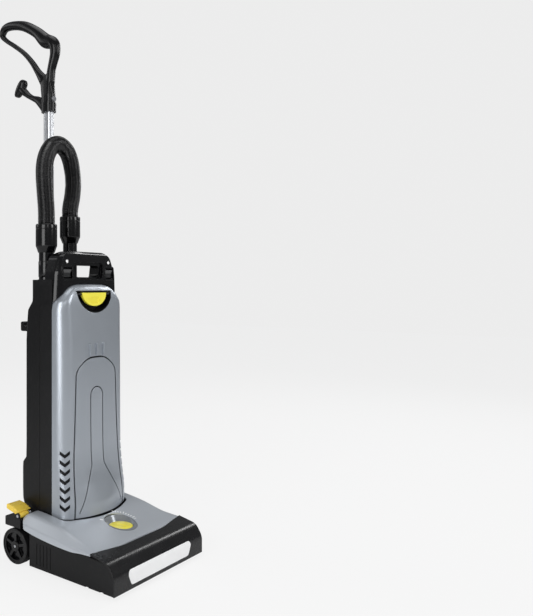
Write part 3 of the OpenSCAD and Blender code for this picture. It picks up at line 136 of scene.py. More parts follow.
def build_lights():
    for name, location, target, size, power in LIGHTS:
        data = bpy.data.lights.new(name, "AREA")
        data.shape = "RECTANGLE"
        data.size, data.size_y = size
        data.energy = power
        light = add_object(name, data)
        light.location = location
        direction = Vector(target) - Vector(location)
        light.rotation_euler = direction.to_track_quat("-Z", "Y").to_euler()
        light.visible_camera = False


def build_floor():
    """A pale floor that keeps the shadow, while most of what the camera sees of it is an even glow."""
    material = bpy.data.materials.new("pale_floor")
    tree = empty_tree(material)
    link = tree.links.new
    noise = add_node(tree, "TexNoise", {"Scale": 3.0})
    tone = add_node(tree, "MapRange", {"To Min": 0.90, "To Max": 0.93})
    diffuse = add_node(tree, "BsdfDiffuse")
    link(noise.outputs["Fac"], tone.inputs["Value"])
    link(tone.outputs[0], diffuse.inputs["Color"])
    glow = add_node(tree, "Emission", {"Color": (1, 1, 1, 1), "Strength": 0.94})
    share = add_node(tree, "Math", {1: 0.87}, operation="MULTIPLY")
    link(add_node(tree, "LightPath").outputs["Is Camera Ray"], share.inputs[0])
    mix = add_node(tree, "MixShader")
    link(share.outputs[0], mix.inputs[0])
    link(diffuse.outputs[0], mix.inputs[1])
    link(glow.outputs[0], mix.inputs[2])
    link(mix.outputs[0], add_node(tree, "OutputMaterial").inputs[0])
    mesh = bpy.data.meshes.new("floor")
    far = 8  # metres
    mesh.from_pydata([(-far, -far, 0), (far, -far, 0), (far, far, 0), (-far, far, 0)], [], [(0, 1, 2, 3)])
    mesh.materials.append(material)
    floor = add_object("floor", mesh)


build_world()
build_lights()
build_floor()

# ------------ materials


def rgba(colour, gain=1.0, lift=0.0):
    return tuple(min(1, c * gain + lift) for c in colour) + (1,)


def moulded(name, colour, roughness=0.4, metallic=0.0, coat=0.0, coat_rough=0.1, specular=0.5,
            grain=900.0, relief=20.0, variation=0.05, rough_variation=0.08, bevel=0.0006,
            stretch=(1, 1, 1), dust=0.0, streaks=0.0, subsurface=0.0, wear_and_edge_highlight=0.22):
    """Plastic, rubber, metal or cloth: blotchy tone, worn edges that on the bumper are also a painted
    highlight, dust, uneven gloss and a fine grain.

    The relief is the grain's depth in micrometres.
    """
    material = bpy.data.materials.new(name)
    tree = empty_tree(material)
    link = tree.links.new
    coords = add_node(tree, "TexCoord").outputs["Object"]

    def scaled(scale):
        mapping = add_node(tree, "Mapping", {"Scale": scale})
        link(coords, mapping.inputs["Vector"])
        return mapping.outputs["Vector"]

    def noise(scale, detail, vector=coords):
        texture = add_node(tree, "TexNoise", {"Scale": scale, "Detail": detail})
        link(vector, texture.inputs["Vector"])
        return texture.outputs["Fac"]

    def ranged(value, limits):
        node = add_node(tree, "MapRange", limits)
        link(value, node.inputs["Value"])
        return node.outputs[0]

    def laid_over(under, over, share):
        mix = add_node(tree, "Mix", {"B": over}, data_type="RGBA")
        link(share, mix.inputs["Factor"])
        link(under, mix.inputs["A"])
        return mix.outputs["Result"]

    shader = add_node(tree, "BsdfPrincipled", {"Metallic": metallic, "Specular IOR Level": specular,
                                               "Coat Weight": coat, "Coat Roughness": coat_rough})
    if subsurface:
        shader.inputs["Subsurface Weight"].default_value = subsurface
        shader.inputs["Subsurface Radius"].default_value = (0.004, 0.004, 0.004)
    link(shader.outputs[0], add_node(tree, "OutputMaterial").inputs[0])

    blotches = add_node(tree, "Mix", {"A": rgba(colour, 1 - variation), "B": rgba(colour, 1 + variation)},
                        data_type="RGBA")
    link(noise(9.0, 4.0), blotches.inputs["Factor"])
    pointiness = add_node(tree, "NewGeometry").outputs["Pointiness"]
    # Convex edges are lightened: worn edges, and on the bumper's charcoal also a painted highlight along its
    # edges
    edges = ranged(pointiness, {"From Min": 0.53, "From Max": 0.62, "To Max": wear_and_edge_highlight})
    tone = laid_over(blotches.outputs["Result"], rgba(colour, 1.25, 0.05), edges)
    if dust:
        specks = ranged(noise(140.0, 6.0), {"From Min": 0.56, "From Max": 0.8, "To Max": dust})
        tone = laid_over(tone, (0.42, 0.41, 0.39, 1), specks)
    link(tone, shader.inputs["Base Color"])

    gloss = ranged(noise(28.0, 5.0), {"To Min": max(0.02, roughness - rough_variation),
                                      "To Max": min(1, roughness + rough_variation)})
    link(gloss, shader.inputs["Roughness"])

    height = noise(grain, 3.0, scaled(stretch))
    if streaks:
        add = add_node(tree, "Math", {1: streaks}, operation="MULTIPLY_ADD")
        link(noise(700.0, 2.0, scaled((1, 1, 0.012))), add.inputs[0])
        link(height, add.inputs[2])
        height = add.outputs[0]
    bump = add_node(tree, "Bump", {"Strength": 1.0, "Distance": relief * 1e-6})
    link(height, bump.inputs["Height"])
    if bevel:
        rounding = add_node(tree, "Bevel", {"Radius": bevel}, samples=4)
        link(rounding.outputs["Normal"], bump.inputs["Normal"])
        link(rounding.outputs["Normal"], shader.inputs["Coat Normal"])
    link(bump.outputs["Normal"], shader.inputs["Normal"])
    return material


MATERIALS = {
    "grey_shell": moulded("silver_grey_shell", (0.38, 0.41, 0.45), 0.34, 0.62, coat=0.15, coat_rough=0.25,
                          grain=2600, relief=6, variation=0.025, rough_variation=0.04),
    # A lighter, less metallic copy of the silver shell for the head's cover: painted light on its top-facing
    # surfaces
    "silver_top": moulded("silver_grey_painted_lit", (0.47, 0.50, 0.54), 0.34, 0.35, coat=0.15, coat_rough=0.25,
                          grain=2600, relief=6, variation=0.025, rough_variation=0.04),
    "black_shell": moulded("grained_black", (0.0035, 0.0035, 0.004), 0.34, specular=0.26, grain=1500,
                           dust=0.012, wear_and_edge_highlight=0.06),
    "gloss_black": moulded("polished_black", (0.0025, 0.0025, 0.003), 0.17, specular=0.32, coat=0.15,
                           coat_rough=0.06, grain=1200, relief=4, rough_variation=0.04, wear_and_edge_highlight=0.0),
    "grip_black": moulded("soft_black_grip", (0.0025, 0.0025, 0.003), 0.25, specular=0.3, grain=1300,
                          relief=2, rough_variation=0.02, wear_and_edge_highlight=0.0, bevel=0),
    "hose_black": moulded("hose_black", (0.003, 0.003, 0.0035), 0.2, specular=0.42, coat=0.15,
                          coat_rough=0.08, grain=1300, relief=2, rough_variation=0.03, wear_and_edge_highlight=0.0, bevel=0),
    "rocker_black": moulded("glossy_rocker", (0.012, 0.012, 0.013), 0.12, coat=0.8, coat_rough=0.05,
                            grain=1300, relief=2, wear_and_edge_highlight=0.0),
    # The charcoal's lightened edges are partly a painted highlight along the bumper's edges
    "charcoal": moulded("satin_charcoal", (0.004, 0.004, 0.0047), 0.27, specular=0.32, grain=1300,
                        relief=12, dust=0.008, wear_and_edge_highlight=0.10),
    "yellow": moulded("bright_yellow", (0.95, 0.83, 0.07), 0.32, coat=0.3, coat_rough=0.15, grain=1500,
                      relief=8, variation=0.02),
    "pedal_yellow": moulded("warm_yellow", (0.86, 0.60, 0.07), 0.38, relief=30, dust=0.08),
    "white": moulded("plain_white", (0.95, 0.95, 0.95), 0.34, coat=0.25, grain=1500, relief=6,
                     variation=0.02),
    "ring_clear": moulded("milky_clear", (0.30, 0.32, 0.345), 0.2, metallic=0.5, coat=0.5, coat_rough=0.08,
                          grain=1200, relief=4, variation=0.03, subsurface=0.1),
    "button_grey": moulded("satin_grey", (0.16, 0.165, 0.175), 0.38, grain=1300),
    "steel": moulded("brushed_steel", (0.56, 0.57, 0.59), 0.30, 1.0, grain=700, relief=10,
                     stretch=(0.04, 1, 1), rough_variation=0.1),
    "aluminium": moulded("anodised_aluminium", (0.46, 0.47, 0.49), 0.34, 1.0, grain=1500, relief=1.2,
                         streaks=0.6, rough_variation=0.06),
    "bronze": moulded("sintered_bronze", (0.48, 0.33, 0.13), 0.42, 1.0, grain=1600, relief=30),
    "tyre": moulded("tyre_black", (0.006, 0.006, 0.0065), 0.5, specular=0.3, grain=800, relief=40,
                    dust=0.05, wear_and_edge_highlight=0.1),
    "rubber": moulded("soft_rubber", (0.011, 0.011, 0.012), 0.5, grain=800, relief=30, dust=0.06),
    "bristle": moulded("nylon_tuft", (0.06, 0.06, 0.066), 0.5, grain=2500, relief=60),
    "paper": moulded("fleece_paper", (0.66, 0.57, 0.41), 0.8, specular=0.2, grain=500, relief=80,
                     variation=0.08),
    "card": moulded("pressed_card", (0.42, 0.28, 0.14), 0.8, specular=0.2, grain=600, relief=80,
                    variation=0.1),
    "filter": moulded("open_foam", (0.10, 0.17, 0.27), 0.9, specular=0.15, grain=420, relief=400,
                      variation=0.12),
    "fleece": moulded("pleated_fleece", (0.72, 0.72, 0.70), 0.85, specular=0.2, grain=600, relief=100),
    "board": moulded("circuit_board", (0.02, 0.10, 0.04), 0.4, grain=500, relief=30, variation=0.2),
}


def dress(node, slot):
    """Gives a CAD node that stays visible its procedural material."""
    materials = frame["nodes"][node].data.materials
    materials.clear()
    materials.append(MATERIALS[slot])


# ------------ outlines


def unit(v):
    v = np.asarray(v, float)
    return v / np.linalg.norm(v)


def around(count):
    return [2 * math.pi * k / count for k in range(count)]


def corner_arc(p, q, s, n):
    """The points that round the corner q [x, y, radius] between its neighbours p and s."""
    c = np.array(q[:2], float)
    r = q[2]
    if r < 1e-3:
        return [tuple(c)]
    a, b = unit(np.array(p[:2]) - c), unit(np.array(s[:2]) - c)
    half = math.acos(max(-1, min(1, float(a @ b)))) / 2
    if half > math.radians(89.7):
        return [tuple(c)] * (n + 1)
    middle = c + unit(a + b) * r / math.sin(half)
    start = c + a * r / math.tan(half) - middle
    turn = (math.pi - 2 * half) * (1 if a[0] * b[1] - a[1] * b[0] < 0 else -1)
    points = []
    for i in range(n + 1):
        t = turn * i / n
        points.append((middle[0] + start[0] * math.cos(t) - start[1] * math.sin(t),
                       middle[1] + start[0] * math.sin(t) + start[1] * math.cos(t)))
    return points


def rounded(corners, n=6):
    """A closed outline of corners [x, y, r] with each corner rounded to its radius."""
    m = len(corners)
    return [p for i in range(m) for p in corner_arc(corners[i - 1], corners[i], corners[(i + 1) % m], n)]


def rounded_line(corners, n):
    """An open line of corners, rounded between its two ends."""
    inner = []
    for i in range(1, len(corners) - 1):
        inner += corner_arc(corners[i - 1], corners[i], corners[i + 1], n)
    return [tuple(corners[0][:2])] + inner + [tuple(corners[-1][:2])]


def mirrored(half):
    """The corners of one half, then those of the other half in the opposite order."""
    return half + [[-c[0], c[1], c[2]] for c in reversed(half)]


def rectangle(x0, x1, y0, y1, r0=0, r1=0, n=6):
    """The outline from x0 to x1 and y0 to y1, with radius r0 at y0 and r1 at y1."""
    return rounded([[x0, y0, r0], [x1, y0, r0], [x1, y1, r1], [x0, y1, r1]], n)


def oval(grow):
    """The handle tube's section, grown on all sides."""
    r, points = 9 + grow, []
    for a in around(48):
        points.append((r * math.cos(a), TUBE_Y + (4 if math.sin(a) >= 0 else -4) + r * math.sin(a)))
    return points


def spline_table(rows, steps):
    """Rows of numbers, the first rising, read off by a shape-keeping cubic.

    The steps are a number of rows, or the values of the first column.
    """
    rows = np.array(rows, float)
    t = rows[:, 0]
    at = np.linspace(t[0], t[-1], steps) if isinstance(steps, int) else np.array(steps, float)
    columns = [at]
    for k in range(1, rows.shape[1]):
        y = rows[:, k]
        h, d = np.diff(t), np.diff(y) / np.diff(t)
        slope = np.zeros(len(t))
        for i in range(1, len(t) - 1):
            if d[i - 1] * d[i] > 0:
                w1, w2 = 2 * h[i] + h[i - 1], h[i] + 2 * h[i - 1]
                slope[i] = (w1 + w2) / (w1 / d[i - 1] + w2 / d[i])
        slope[0], slope[-1] = d[0], d[-1]
        i = np.clip(np.searchsorted(t, at, side="right") - 1, 0, len(t) - 2)
        u = (at - t[i]) / h[i]
        columns.append((1 + 2 * u) * (1 - u) ** 2 * y[i] + u * (1 - u) ** 2 * h[i] * slope[i]
                       + u * u * (3 - 2 * u) * y[i + 1] + u * u * (u - 1) * h[i] * slope[i + 1])
    return np.array(columns).T


def catmull(points, steps):
    """A smooth line through the points, with the given number of steps between each two."""
    p = np.array(points, float)
    out = []
    for i in range(len(p) - 1):
        a, b, c, d = p[max(0, i - 1)], p[i], p[i + 1], p[min(len(p) - 1, i + 2)]
        for k in range(steps):
            t = k / steps
            out.append(b + t * (c - a) / 2 + t * t * (a - 2.5 * b + 2 * c - d / 2)
                       + t ** 3 * (1.5 * (b - c) + (d - a) / 2))
    out.append(p[-1])
    return np.array(out)


def evenly(line, count):
    """count + 1 points at even distances along a line, and the line's length."""
    steps = np.concatenate([[0], np.cumsum(np.linalg.norm(np.diff(line, axis=0), axis=1))])
    at = np.linspace(0, steps[-1], count + 1)
    return np.array([np.interp(at, steps, line[:, k]) for k in range(3)]).T, steps[-1]


# ------------ meshes


def tidied(mesh, sharp=32):
    """Merges doubled points, turns faces outward and marks edges sharper than the given angle."""
    doubled = 0.000002
    bm = bmesh.new()
    bm.from_mesh(mesh)
    bmesh.ops.remove_doubles(bm, verts=bm.verts, dist=doubled)
    bmesh.ops.dissolve_degenerate(bm, edges=bm.edges, dist=doubled)
    bmesh.ops.recalc_face_normals(bm, faces=bm.faces)
    limit = math.radians(sharp)
    for face in bm.faces:
        face.smooth = True
    for edge in bm.edges:
        edge.smooth = len(edge.link_faces) != 2 or edge.calc_face_angle(0) < limit
    bm.to_mesh(mesh)
    bm.free()
    return mesh


def make_mesh(points, faces, sharp=32):
    mesh = bpy.data.meshes.new("form")
    mesh.from_pydata([point(*p) for p in points], [], faces)
    return tidied(mesh, sharp)


def loft(rings, caps=True, sharp=32):
    """A mesh through closed rings of equally many points."""
    m, n = len(rings), len(rings[0])
    faces = []
    for k in range(m - 1):
        for i in range(n):
            j = (i + 1) % n
            faces.append((k * n + i, k * n + j, (k + 1) * n + j, (k + 1) * n + i))
    if caps:
        faces.append(tuple(range(n - 1, -1, -1)))
        faces.append(tuple((m - 1) * n + i for i in range(n)))
    return make_mesh([p for r in rings for p in r], faces, sharp)


def prism(outline, axis, low, high):
    """A solid drawn from an outline along one axis: 'y' takes (x, z), 'x' takes (y, z), 'z' takes (x, y)."""
    n, points = len(outline), []
    for depth in (low, high):
        for a, b in outline:
            points.append({"y": (a, depth, b), "x": (depth, a, b), "z": (a, b, depth)}[axis])
    faces = [tuple(range(n)), tuple(range(2 * n - 1, n - 1, -1))]
    faces += [(i, (i + 1) % n, n + (i + 1) % n, n + i) for i in range(n)]
    return make_mesh(points, faces)


def lathe(profile, centre, axis, steps, hollow=False):
    """A turned form. The profile is (radius, height) pairs from one end of the axis to the other.

    A hollow form's profile runs once round its wall instead.
    """
    x, y, z = centre
    rings = []
    for r, h in profile + profile[:1] if hollow else profile:
        ring = []
        for a in around(steps):
            u, v = max(r, 0.001) * math.cos(a), max(r, 0.001) * math.sin(a)
            ring.append({"x": (x + h, y + u, z + v), "y": (x + u, y + h, z + v),
                         "z": (x + u, y + v, z + h)}[axis])
        rings.append(ring)
    return loft(rings, caps=not hollow)


def rod(r, low, high, centre, axis, steps):
    """A plain cylinder between two heights above the centre along the axis."""
    return lathe([(r, low), (r, high)], centre, axis, steps)


def merged(*meshes):
    """Several meshes as one, without joining their surfaces."""
    bm = bmesh.new()
    for mesh in meshes:
        bm.from_mesh(mesh)
    mesh = bpy.data.meshes.new("merged")
    bm.to_mesh(mesh)
    bm.free()
    return mesh


def boolean(mesh, other, operation, sharp=32):
    """The two meshes combined, as a new mesh."""
    a = add_object("boolean_a", mesh)
    b = add_object("boolean_b", other)
    modifier = a.modifiers.new("cut", "BOOLEAN")
    modifier.operation = operation
    modifier.object = b
    modifier.solver = "MANIFOLD"
    bpy.context.view_layer.update()
    result = bpy.data.meshes.new_from_object(a.evaluated_get(bpy.context.evaluated_depsgraph_get()))
    bpy.data.objects.remove(a)
    bpy.data.objects.remove(b)
    result.materials.clear()
    return tidied(result, sharp)


def cut(mesh, *cutters, sharp=32):
    """The mesh with one cutter after the other taken away."""
    for cutter in cutters:
        mesh = boolean(mesh, cutter, "DIFFERENCE", sharp)
    return mesh


def common(mesh, other):
    """The space that both meshes fill."""
    return boolean(mesh, other, "INTERSECT")


def joined(mesh, *others):
    """The meshes grown together into one surface."""
    for other in others:
        mesh = boolean(mesh, other, "UNION")
    return mesh


def marked(mesh):
    """Gives all faces of the mesh the second material of the piece that it becomes part of."""
    for face in mesh.polygons:
        face.material_index = 1
    return mesh


def place(name, mesh, body, slot, replaces, second=None):
    """Adds a piece in place of CAD nodes. slot_name is given where MATERIALS has more than the record."""
    mesh.name = name
    mesh.materials.append(MATERIALS[slot])
    if second:
        mesh.materials.append(MATERIALS[second])
    piece = add_object(name, mesh)
    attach(piece, body)
    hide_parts(*replaces)
    return piece


# ------------ suction hose

HOSE_ROUTE = [
    (-60, 275, 737.2), (-60, 275, 745), (-60, 275, 757), (-61, 275, 777), (-64, 275, 805),
    (-67, 275, 840), (-65, 276, 870), (-57, 276, 895), (-42, 277, 914), (-22, 279, 923), (-3, 282, 922),
    (17, 285, 912), (32, 288, 893), (42, 291, 868), (46, 292, 840), (44, 293, 812), (38, 293, 787),
    (36, 293, 775), (36, 293, 768), (36, 293, 762.2),
]
HOSE_D = 39.0
HOSE_RIBS = 130
RIB_SWING = 0.75  # the ribs' crests and valleys lie this far from their mean radius


def tube_along(line, radii, sides):
    """A tube along a line, with one radius for each of its points."""
    side, rings = np.array((1, 0, 0), float), []
    for i, (centre, r) in enumerate(zip(line, radii)):
        along = unit(line[min(i + 1, len(line) - 1)] - line[max(i - 1, 0)])
        side = unit(side - along * (side @ along))
        across = np.cross(along, side)
        rings.append([tuple(centre + r * math.cos(a) * side + r * math.sin(a) * across)
                      for a in around(sides)])
    return loft(rings, sharp=60)


def build_hose():
    fine, per_rib = catmull(HOSE_ROUTE, 8), 6
    line, length = evenly(fine, HOSE_RIBS * per_rib)
    radii = []
    for i in range(len(line)):
        wave = math.cos(2 * math.pi * i / per_rib)
        radii.append(HOSE_D / 2 - RIB_SWING + RIB_SWING * math.copysign(abs(wave) ** 0.6, wave))
    radii[0] = radii[-1] = HOSE_D / 2 - 1.4  # the ends sit in the cuffs
    mesh = tube_along(line, radii, 32)
    hose = place("suction_hose_ribbed", mesh, "upright", "hose_black", ["suction_hose"])


# ------------ upright body: silver cover

COVER_SECTIONS = [
    # height, half width, centre front, bow, corner radius
    (102, 103, 150, 28, 22), (125, 103, 152, 25, 22), (150, 103, 159, 17, 24), (175, 103, 167, 10, 26),
    (205, 103, 173, 5, 28), (240, 103, 176, 3, 30), (450, 103, 178, 2, 30), (542, 103, 180, 2, 27),
    (562, 100, 180.5, 2, 24), (574, 92, 181.5, 2, 22), (587, 80, 185, 2, 18), (596, 66, 191, 2, 12),
    (600, 56, 196, 2, 10), (604, 38, 203, 1, 8),
]
# Rings lie close together where the foot flares and where the shoulders round over
COVER_HEIGHTS = np.concatenate([np.arange(102, 260, 4), np.arange(260, 540, 14), np.arange(540, 592, 2),
                                np.arange(592, 604.5, 1)])
SHOULDER_Z, COVER_TOP = 560, 604
PANEL_FOOT = 102.5
PANEL_WALL = 2.5
GROOVE_DEPTH = 1.9
IN_FRONT = 60  # a depth in front of all of the body


def cover_loft(t, back, below=0.0):
    """The closed form of the silver cover, t inside its surface, with its foot lowered by below."""
    rings = []
    for i, (z, hw, front, bow, r) in enumerate(spline_table(COVER_SECTIONS, COVER_HEIGHTS)):
        hw, front, r = hw - t, front + t, max(3, r - t)
        outline = rounded(mirrored([[hw, back, 0], [hw, front + bow, r], [0.35 * hw, front, 170]]), 12)
        sink = below if i == 0 else max(0, t) * max(0, z - SHOULDER_Z) / (COVER_TOP - SHOULDER_Z)
        rings.append([(x, y, z - sink) for x, y in outline])
    return loft(rings)


def cover_wall(outer, inner):
    """The cover's wall between two depths under its surface."""
    return cut(cover_loft(outer, SEAM_Y), cover_loft(inner, SEAM_Y + 20, below=5))


def panel_outline(grow):
    """The arched panel from the front."""
    return rounded(mirrored([[82 + grow, 92, 0], [80 + grow, 150, 0], [72 + grow, 290, 200],
                             [67 + grow, 415, 30], [29, 443 + grow, 60]]), 16)


def latch_outline(grow):
    """The half round recess of the latch from the front."""
    return [((58 + grow) * math.cos(a), 588 + grow + (49 + 2 * grow) * math.sin(a))
            for a in np.linspace(math.pi, 2 * math.pi, 49)]


def bottle_line(t):
    """The line on the panel like a bottle's outline, t outside its middle."""
    return rounded(mirrored([[70 + t, 112, 0], [20 + t, 205, 20], [20 + t, 375 + t, 19 + t]]), 12)


def turned_about_z(mesh, degrees, x, y):
    """Turns a mesh about the origin's upright axis and moves that axis to x, y."""
    a = math.radians(degrees)
    px, py, _ = point(x, y, 0)
    for v in mesh.vertices:
        dx, dy = v.co.x, v.co.y
        v.co.x, v.co.y = px + dx * math.cos(a) - dy * math.sin(a), py + dx * math.sin(a) + dy * math.cos(a)
    return mesh


def vent_cutters():
    """V-shaped slots on the two rounded corners, one solid each."""
    slots, lowest, step, hw = 7, 128, 18.6, 11
    cutters = []
    for side in (1, -1):
        for i in range(slots):
            z = lowest + step * i
            outline = [(-hw, z + 7), (0, z - 1), (hw, z + 7), (hw, z - 1), (0, z - 9), (-hw, z - 1)]
            slot = prism(outline, "y", DEPTH_SHIFT - 30, DEPTH_SHIFT + 14)
            cutters.append(turned_about_z(slot, 45 * side, side * 97, 182))
    return merged(*cutters)


def build_cover():
    """The cover with a black band behind the panel's gap and a black sheet behind the vents, both painted
    shade, and three ribs.
    """
    body = cut(cover_wall(0, WALL), vent_cutters(), prism(panel_outline(0), "y", IN_FRONT, SEAM_Y - 12),
               prism(latch_outline(0.2), "y", IN_FRONT, SEAM_Y - 5))
    band = cut(prism(panel_outline(4), "y", IN_FRONT, SEAM_Y - 12),
               prism(panel_outline(-4), "y", IN_FRONT - 10, SEAM_Y))
    # A black band just behind the panel's gap: painted shade that makes the gap read dark
    rim = common(cover_wall(WALL - 0.2, 5.5), band)
    ribs, rib_hw = [], 1.8
    for x in (-22, 0, 22):
        ribs.append(prism(rectangle(x - rib_hw, x + rib_hw, 445, 471, 1, 1.7), "y", 173.8, 181))
        groove = rectangle(x + rib_hw, x + 5, 446, 470)
        body = cut(body, prism(groove, "y", 160, 180.3))
    # A black sheet inside the wall behind the vents: painted shade of the dark inside, seen through the slots
    sides = merged(*(prism(rectangle(s * 62, s * 105, 112, 285), "y", 100, 206) for s in (-1, 1)))
    painted_vent_shade = common(cover_wall(WALL + 0.1, WALL + 1.1), sides)
    cover = tidied(merged(body, marked(merged(rim, painted_vent_shade)), *ribs))
    place("front_cover_shell", cover, "cover", "grey_shell", ["front_cover"], second="black_shell")


def build_panel():
    """The arched panel with a groove along the bottle line, a black strip at the groove's bottom as painted
    shade, and two ears.
    """
    panel = common(cover_wall(0, PANEL_WALL), prism(panel_outline(-3.8), "y", IN_FRONT, SEAM_Y - 14))
    panel = cut(panel, prism(rectangle(-FAR, FAR, 80, PANEL_FOOT), "y", IN_FRONT, 300))
    groove = cut(prism(bottle_line(1.3), "y", IN_FRONT, SEAM_Y - 14),
                 prism(bottle_line(-1.3), "y", IN_FRONT - 10, SEAM_Y))
    panel = cut(panel, common(cover_wall(-2, GROOVE_DEPTH), groove))
    ear = rectangle(160, 168, PANEL_FOOT, 113, 1, 3, 5)
    ears = [prism(ear, "x", 51.5, 57.5), prism(ear, "x", -57.5, -51.5)]
    # A black strip at the bottom of the groove: painted shade that makes the groove read dark
    strip = marked(common(cover_wall(GROOVE_DEPTH - 0.5, GROOVE_DEPTH), groove))
    panel = tidied(merged(panel, strip, *ears))
    place("arch_panel_shell", panel, "cover", "grey_shell", ["arch_panel"], second="black_shell")


def build_latch():
    """The latch's black recess, and its yellow flap with the finger's hollow, the pin and the tongue."""
    bowl = common(cover_loft(0.4, SEAM_Y + 20), prism(latch_outline(0), "y", IN_FRONT, 211))
    bowl = cut(bowl, prism(latch_outline(-2), "y", IN_FRONT - 10, 208))
    place("latch_recess", bowl, "cover", "black_shell", ["latch_bezel"])

    pivot, hw, top, drop = (0, 187.5, 580.5), 40, 584, 30
    edge = [(hw * math.cos(a), top + drop * math.sin(a)) for a in np.linspace(math.pi, 2 * math.pi, 41)]
    plate = prism([(184, 583.5), (190, 583.5), (188, 553), (182, 553)], "x", -hw, hw)
    plate = common(plate, prism(edge + [(hw, top + 1), (-hw, top + 1)], "y", 150, 230))
    finger = rounded([[-18, 574, 6], [18, 574, 6], [13, 561, 6], [-13, 561, 6]], 6)
    plate = cut(plate, prism(finger, "y", 150, 184.2))
    pin = marked(lathe([(2.2, -53.7), (2.5, -53.3), (2.5, 53.3), (2.2, 53.7)], pivot, "x", 24))
    tongue = prism(rectangle(-8, 8, 189, 198, 0.5, 1.5, 4), "z", 579, 583.4)
    flap = tidied(merged(plate, pin, tongue))
    place("latch_flap", flap, "latch", "yellow", ["cover_latch"], second="charcoal")


# ------------ floor head

HEAD_BACK = 261
DIAL_R = 36
HEAD_STATIONS = [
    # depth, top, lower edge
    (40, 74, 68), (61, 79, 71), (85, 84, 70), (114, 91, 67), (150, 100, 68), (190, 106, 71), (230, 110, 76),
    (252, 111, 81), (HEAD_BACK, 108, 85),
]
BUMPER_LINE = [[0, 8, 0], [0, 44, 30], [16, 68, 24], [64, 77, 0]]


def beside(line, t):
    """The line moved sideways by t."""
    p, out = [np.array(q, float) for q in line], []
    for i in range(len(p)):
        d = unit(p[min(i + 1, len(p) - 1)] - p[max(i - 1, 0)])
        out.append(tuple(p[i] + t * np.array([d[1], -d[0]])))
    return out


def bumper_band(t0, t1):
    """The bumper's section between two depths under its surface."""
    line = rounded_line(BUMPER_LINE, 14)
    return beside(line, t0) + list(reversed(beside(line, t1)))


def front_edge_plan(gap):
    """All in front of the head cover's bowed front edge, from above."""
    w = HEAD_HW + 20
    line = rounded_line([[-w, 65.2, 0], [-70, 47, 150], [70, 47, 150], [w, 65.2, 0]], 16)
    return [(x, y - gap) for x, y in line] + [(w, -20), (-w, -20)]


def foot_plan(gap, back):
    """The upright body's foot from above, with a gap round it."""
    hw = BODY_HW + gap
    return rounded(mirrored([[0.35 * hw, 150 - gap, 170], [hw, 178 - gap, 22], [hw, back, 0]]), 16)


def head_cover_loft(t=0.0, open_by=0.0):
    """The closed form of the head's cover, t inside its surface.

    With open_by it also reaches out below, in front and behind, to open the cover there.
    """
    rings = []
    for y, top, low in spline_table(HEAD_STATIONS, 90):
        if open_by:
            # the last 6 mm grow by 20 mm to the back, the first 5 mm by 5 mm to the front
            y += 20 * max(0, y - 255) / 6 - 5 * max(0, 45 - y) / 5
        drop, hw = (top - low) * 0.6, HEAD_HW - t
        top, low = top - t, low - open_by
        r = min(6, (top - drop - low) * 0.9)
        outline = rounded(mirrored([[hw, low, 0], [hw, top - drop, r], [hw - 19, top - 2, 20],
                                    [40, top, 60]]), 12)
        rings.append([(x, y, z) for x, z in outline])
    return loft(rings)


def dial_strokes():
    """Prisms for ten strokes of the dial's scale and one broad stroke on its other side."""
    rows = [(64 - 8 * k, 40, 48 if k % 4 == 0 else 45.5, 0.9) for k in range(10)] + [(140, 39, 46, 1.8)]
    strokes = []
    for degrees, low, high, half_width in rows:
        a = math.radians(degrees)
        across = np.array([-math.sin(a), math.cos(a)]) * half_width
        near, far = (np.array([math.cos(a), math.sin(a)]) * r + DIAL[:2] for r in (low, high))
        corners = (near - across, far - across, far + across, near + across)
        strokes.append(prism([tuple(c) for c in corners], "z", 60, 140))
    return merged(*strokes)


def build_head_cover():
    plan = rounded(mirrored([[HEAD_HW, HEAD_BACK, 14], [HEAD_HW, 0, 0]]), 14)
    cover = common(head_cover_loft(), prism(plan, "z", 0, 200))
    cover = cut(cover, prism(front_edge_plan(0), "z", -10, 210), head_cover_loft(3, open_by=12),
                prism(foot_plan(gap=4, back=291), "z", -10, 210), rod(DIAL_R + 0.3, -10, 210, DIAL, "z", 96))
    skin = cut(head_cover_loft(-0.25), head_cover_loft(0.2))
    cover = merged(cover, marked(common(skin, dial_strokes())))
    # The head cover takes the lighter copy of the silver, which paints light on its top
    place("head_cover_shell", cover, "head", "silver_top", ["head_cover"], second="white")


def strip_form(t, gap, outer):
    """The white strip's form from the depth outer to t under the bumper's surface."""
    plan = rounded(mirrored([[98.5 + gap, 16 - gap, 8], [112.5 + gap, 46 + gap, 9]]), 10)
    band = prism(bumper_band(outer, t), "x", -HEAD_HW, HEAD_HW)
    return common(band, prism(plan, "y", -5, 20))


def build_bumper():
    under_cover = cut(prism(rectangle(-FAR, FAR, -10, 90), "z", 56, 116),
                      prism(front_edge_plan(0.5), "z", 40, 130))
    recess = strip_form(t=1.6, gap=0.15, outer=-1)
    bumper = cut(prism(bumper_band(0, 3), "x", -HEAD_HW, HEAD_HW), under_cover, recess)
    place("bumper_shell", bumper, "head", "charcoal", ["bumper"])
    strip = strip_form(t=1.4, gap=0, outer=0.0)
    place("bumper_strip_bar", strip, "head", "white", ["bumper_strip"])


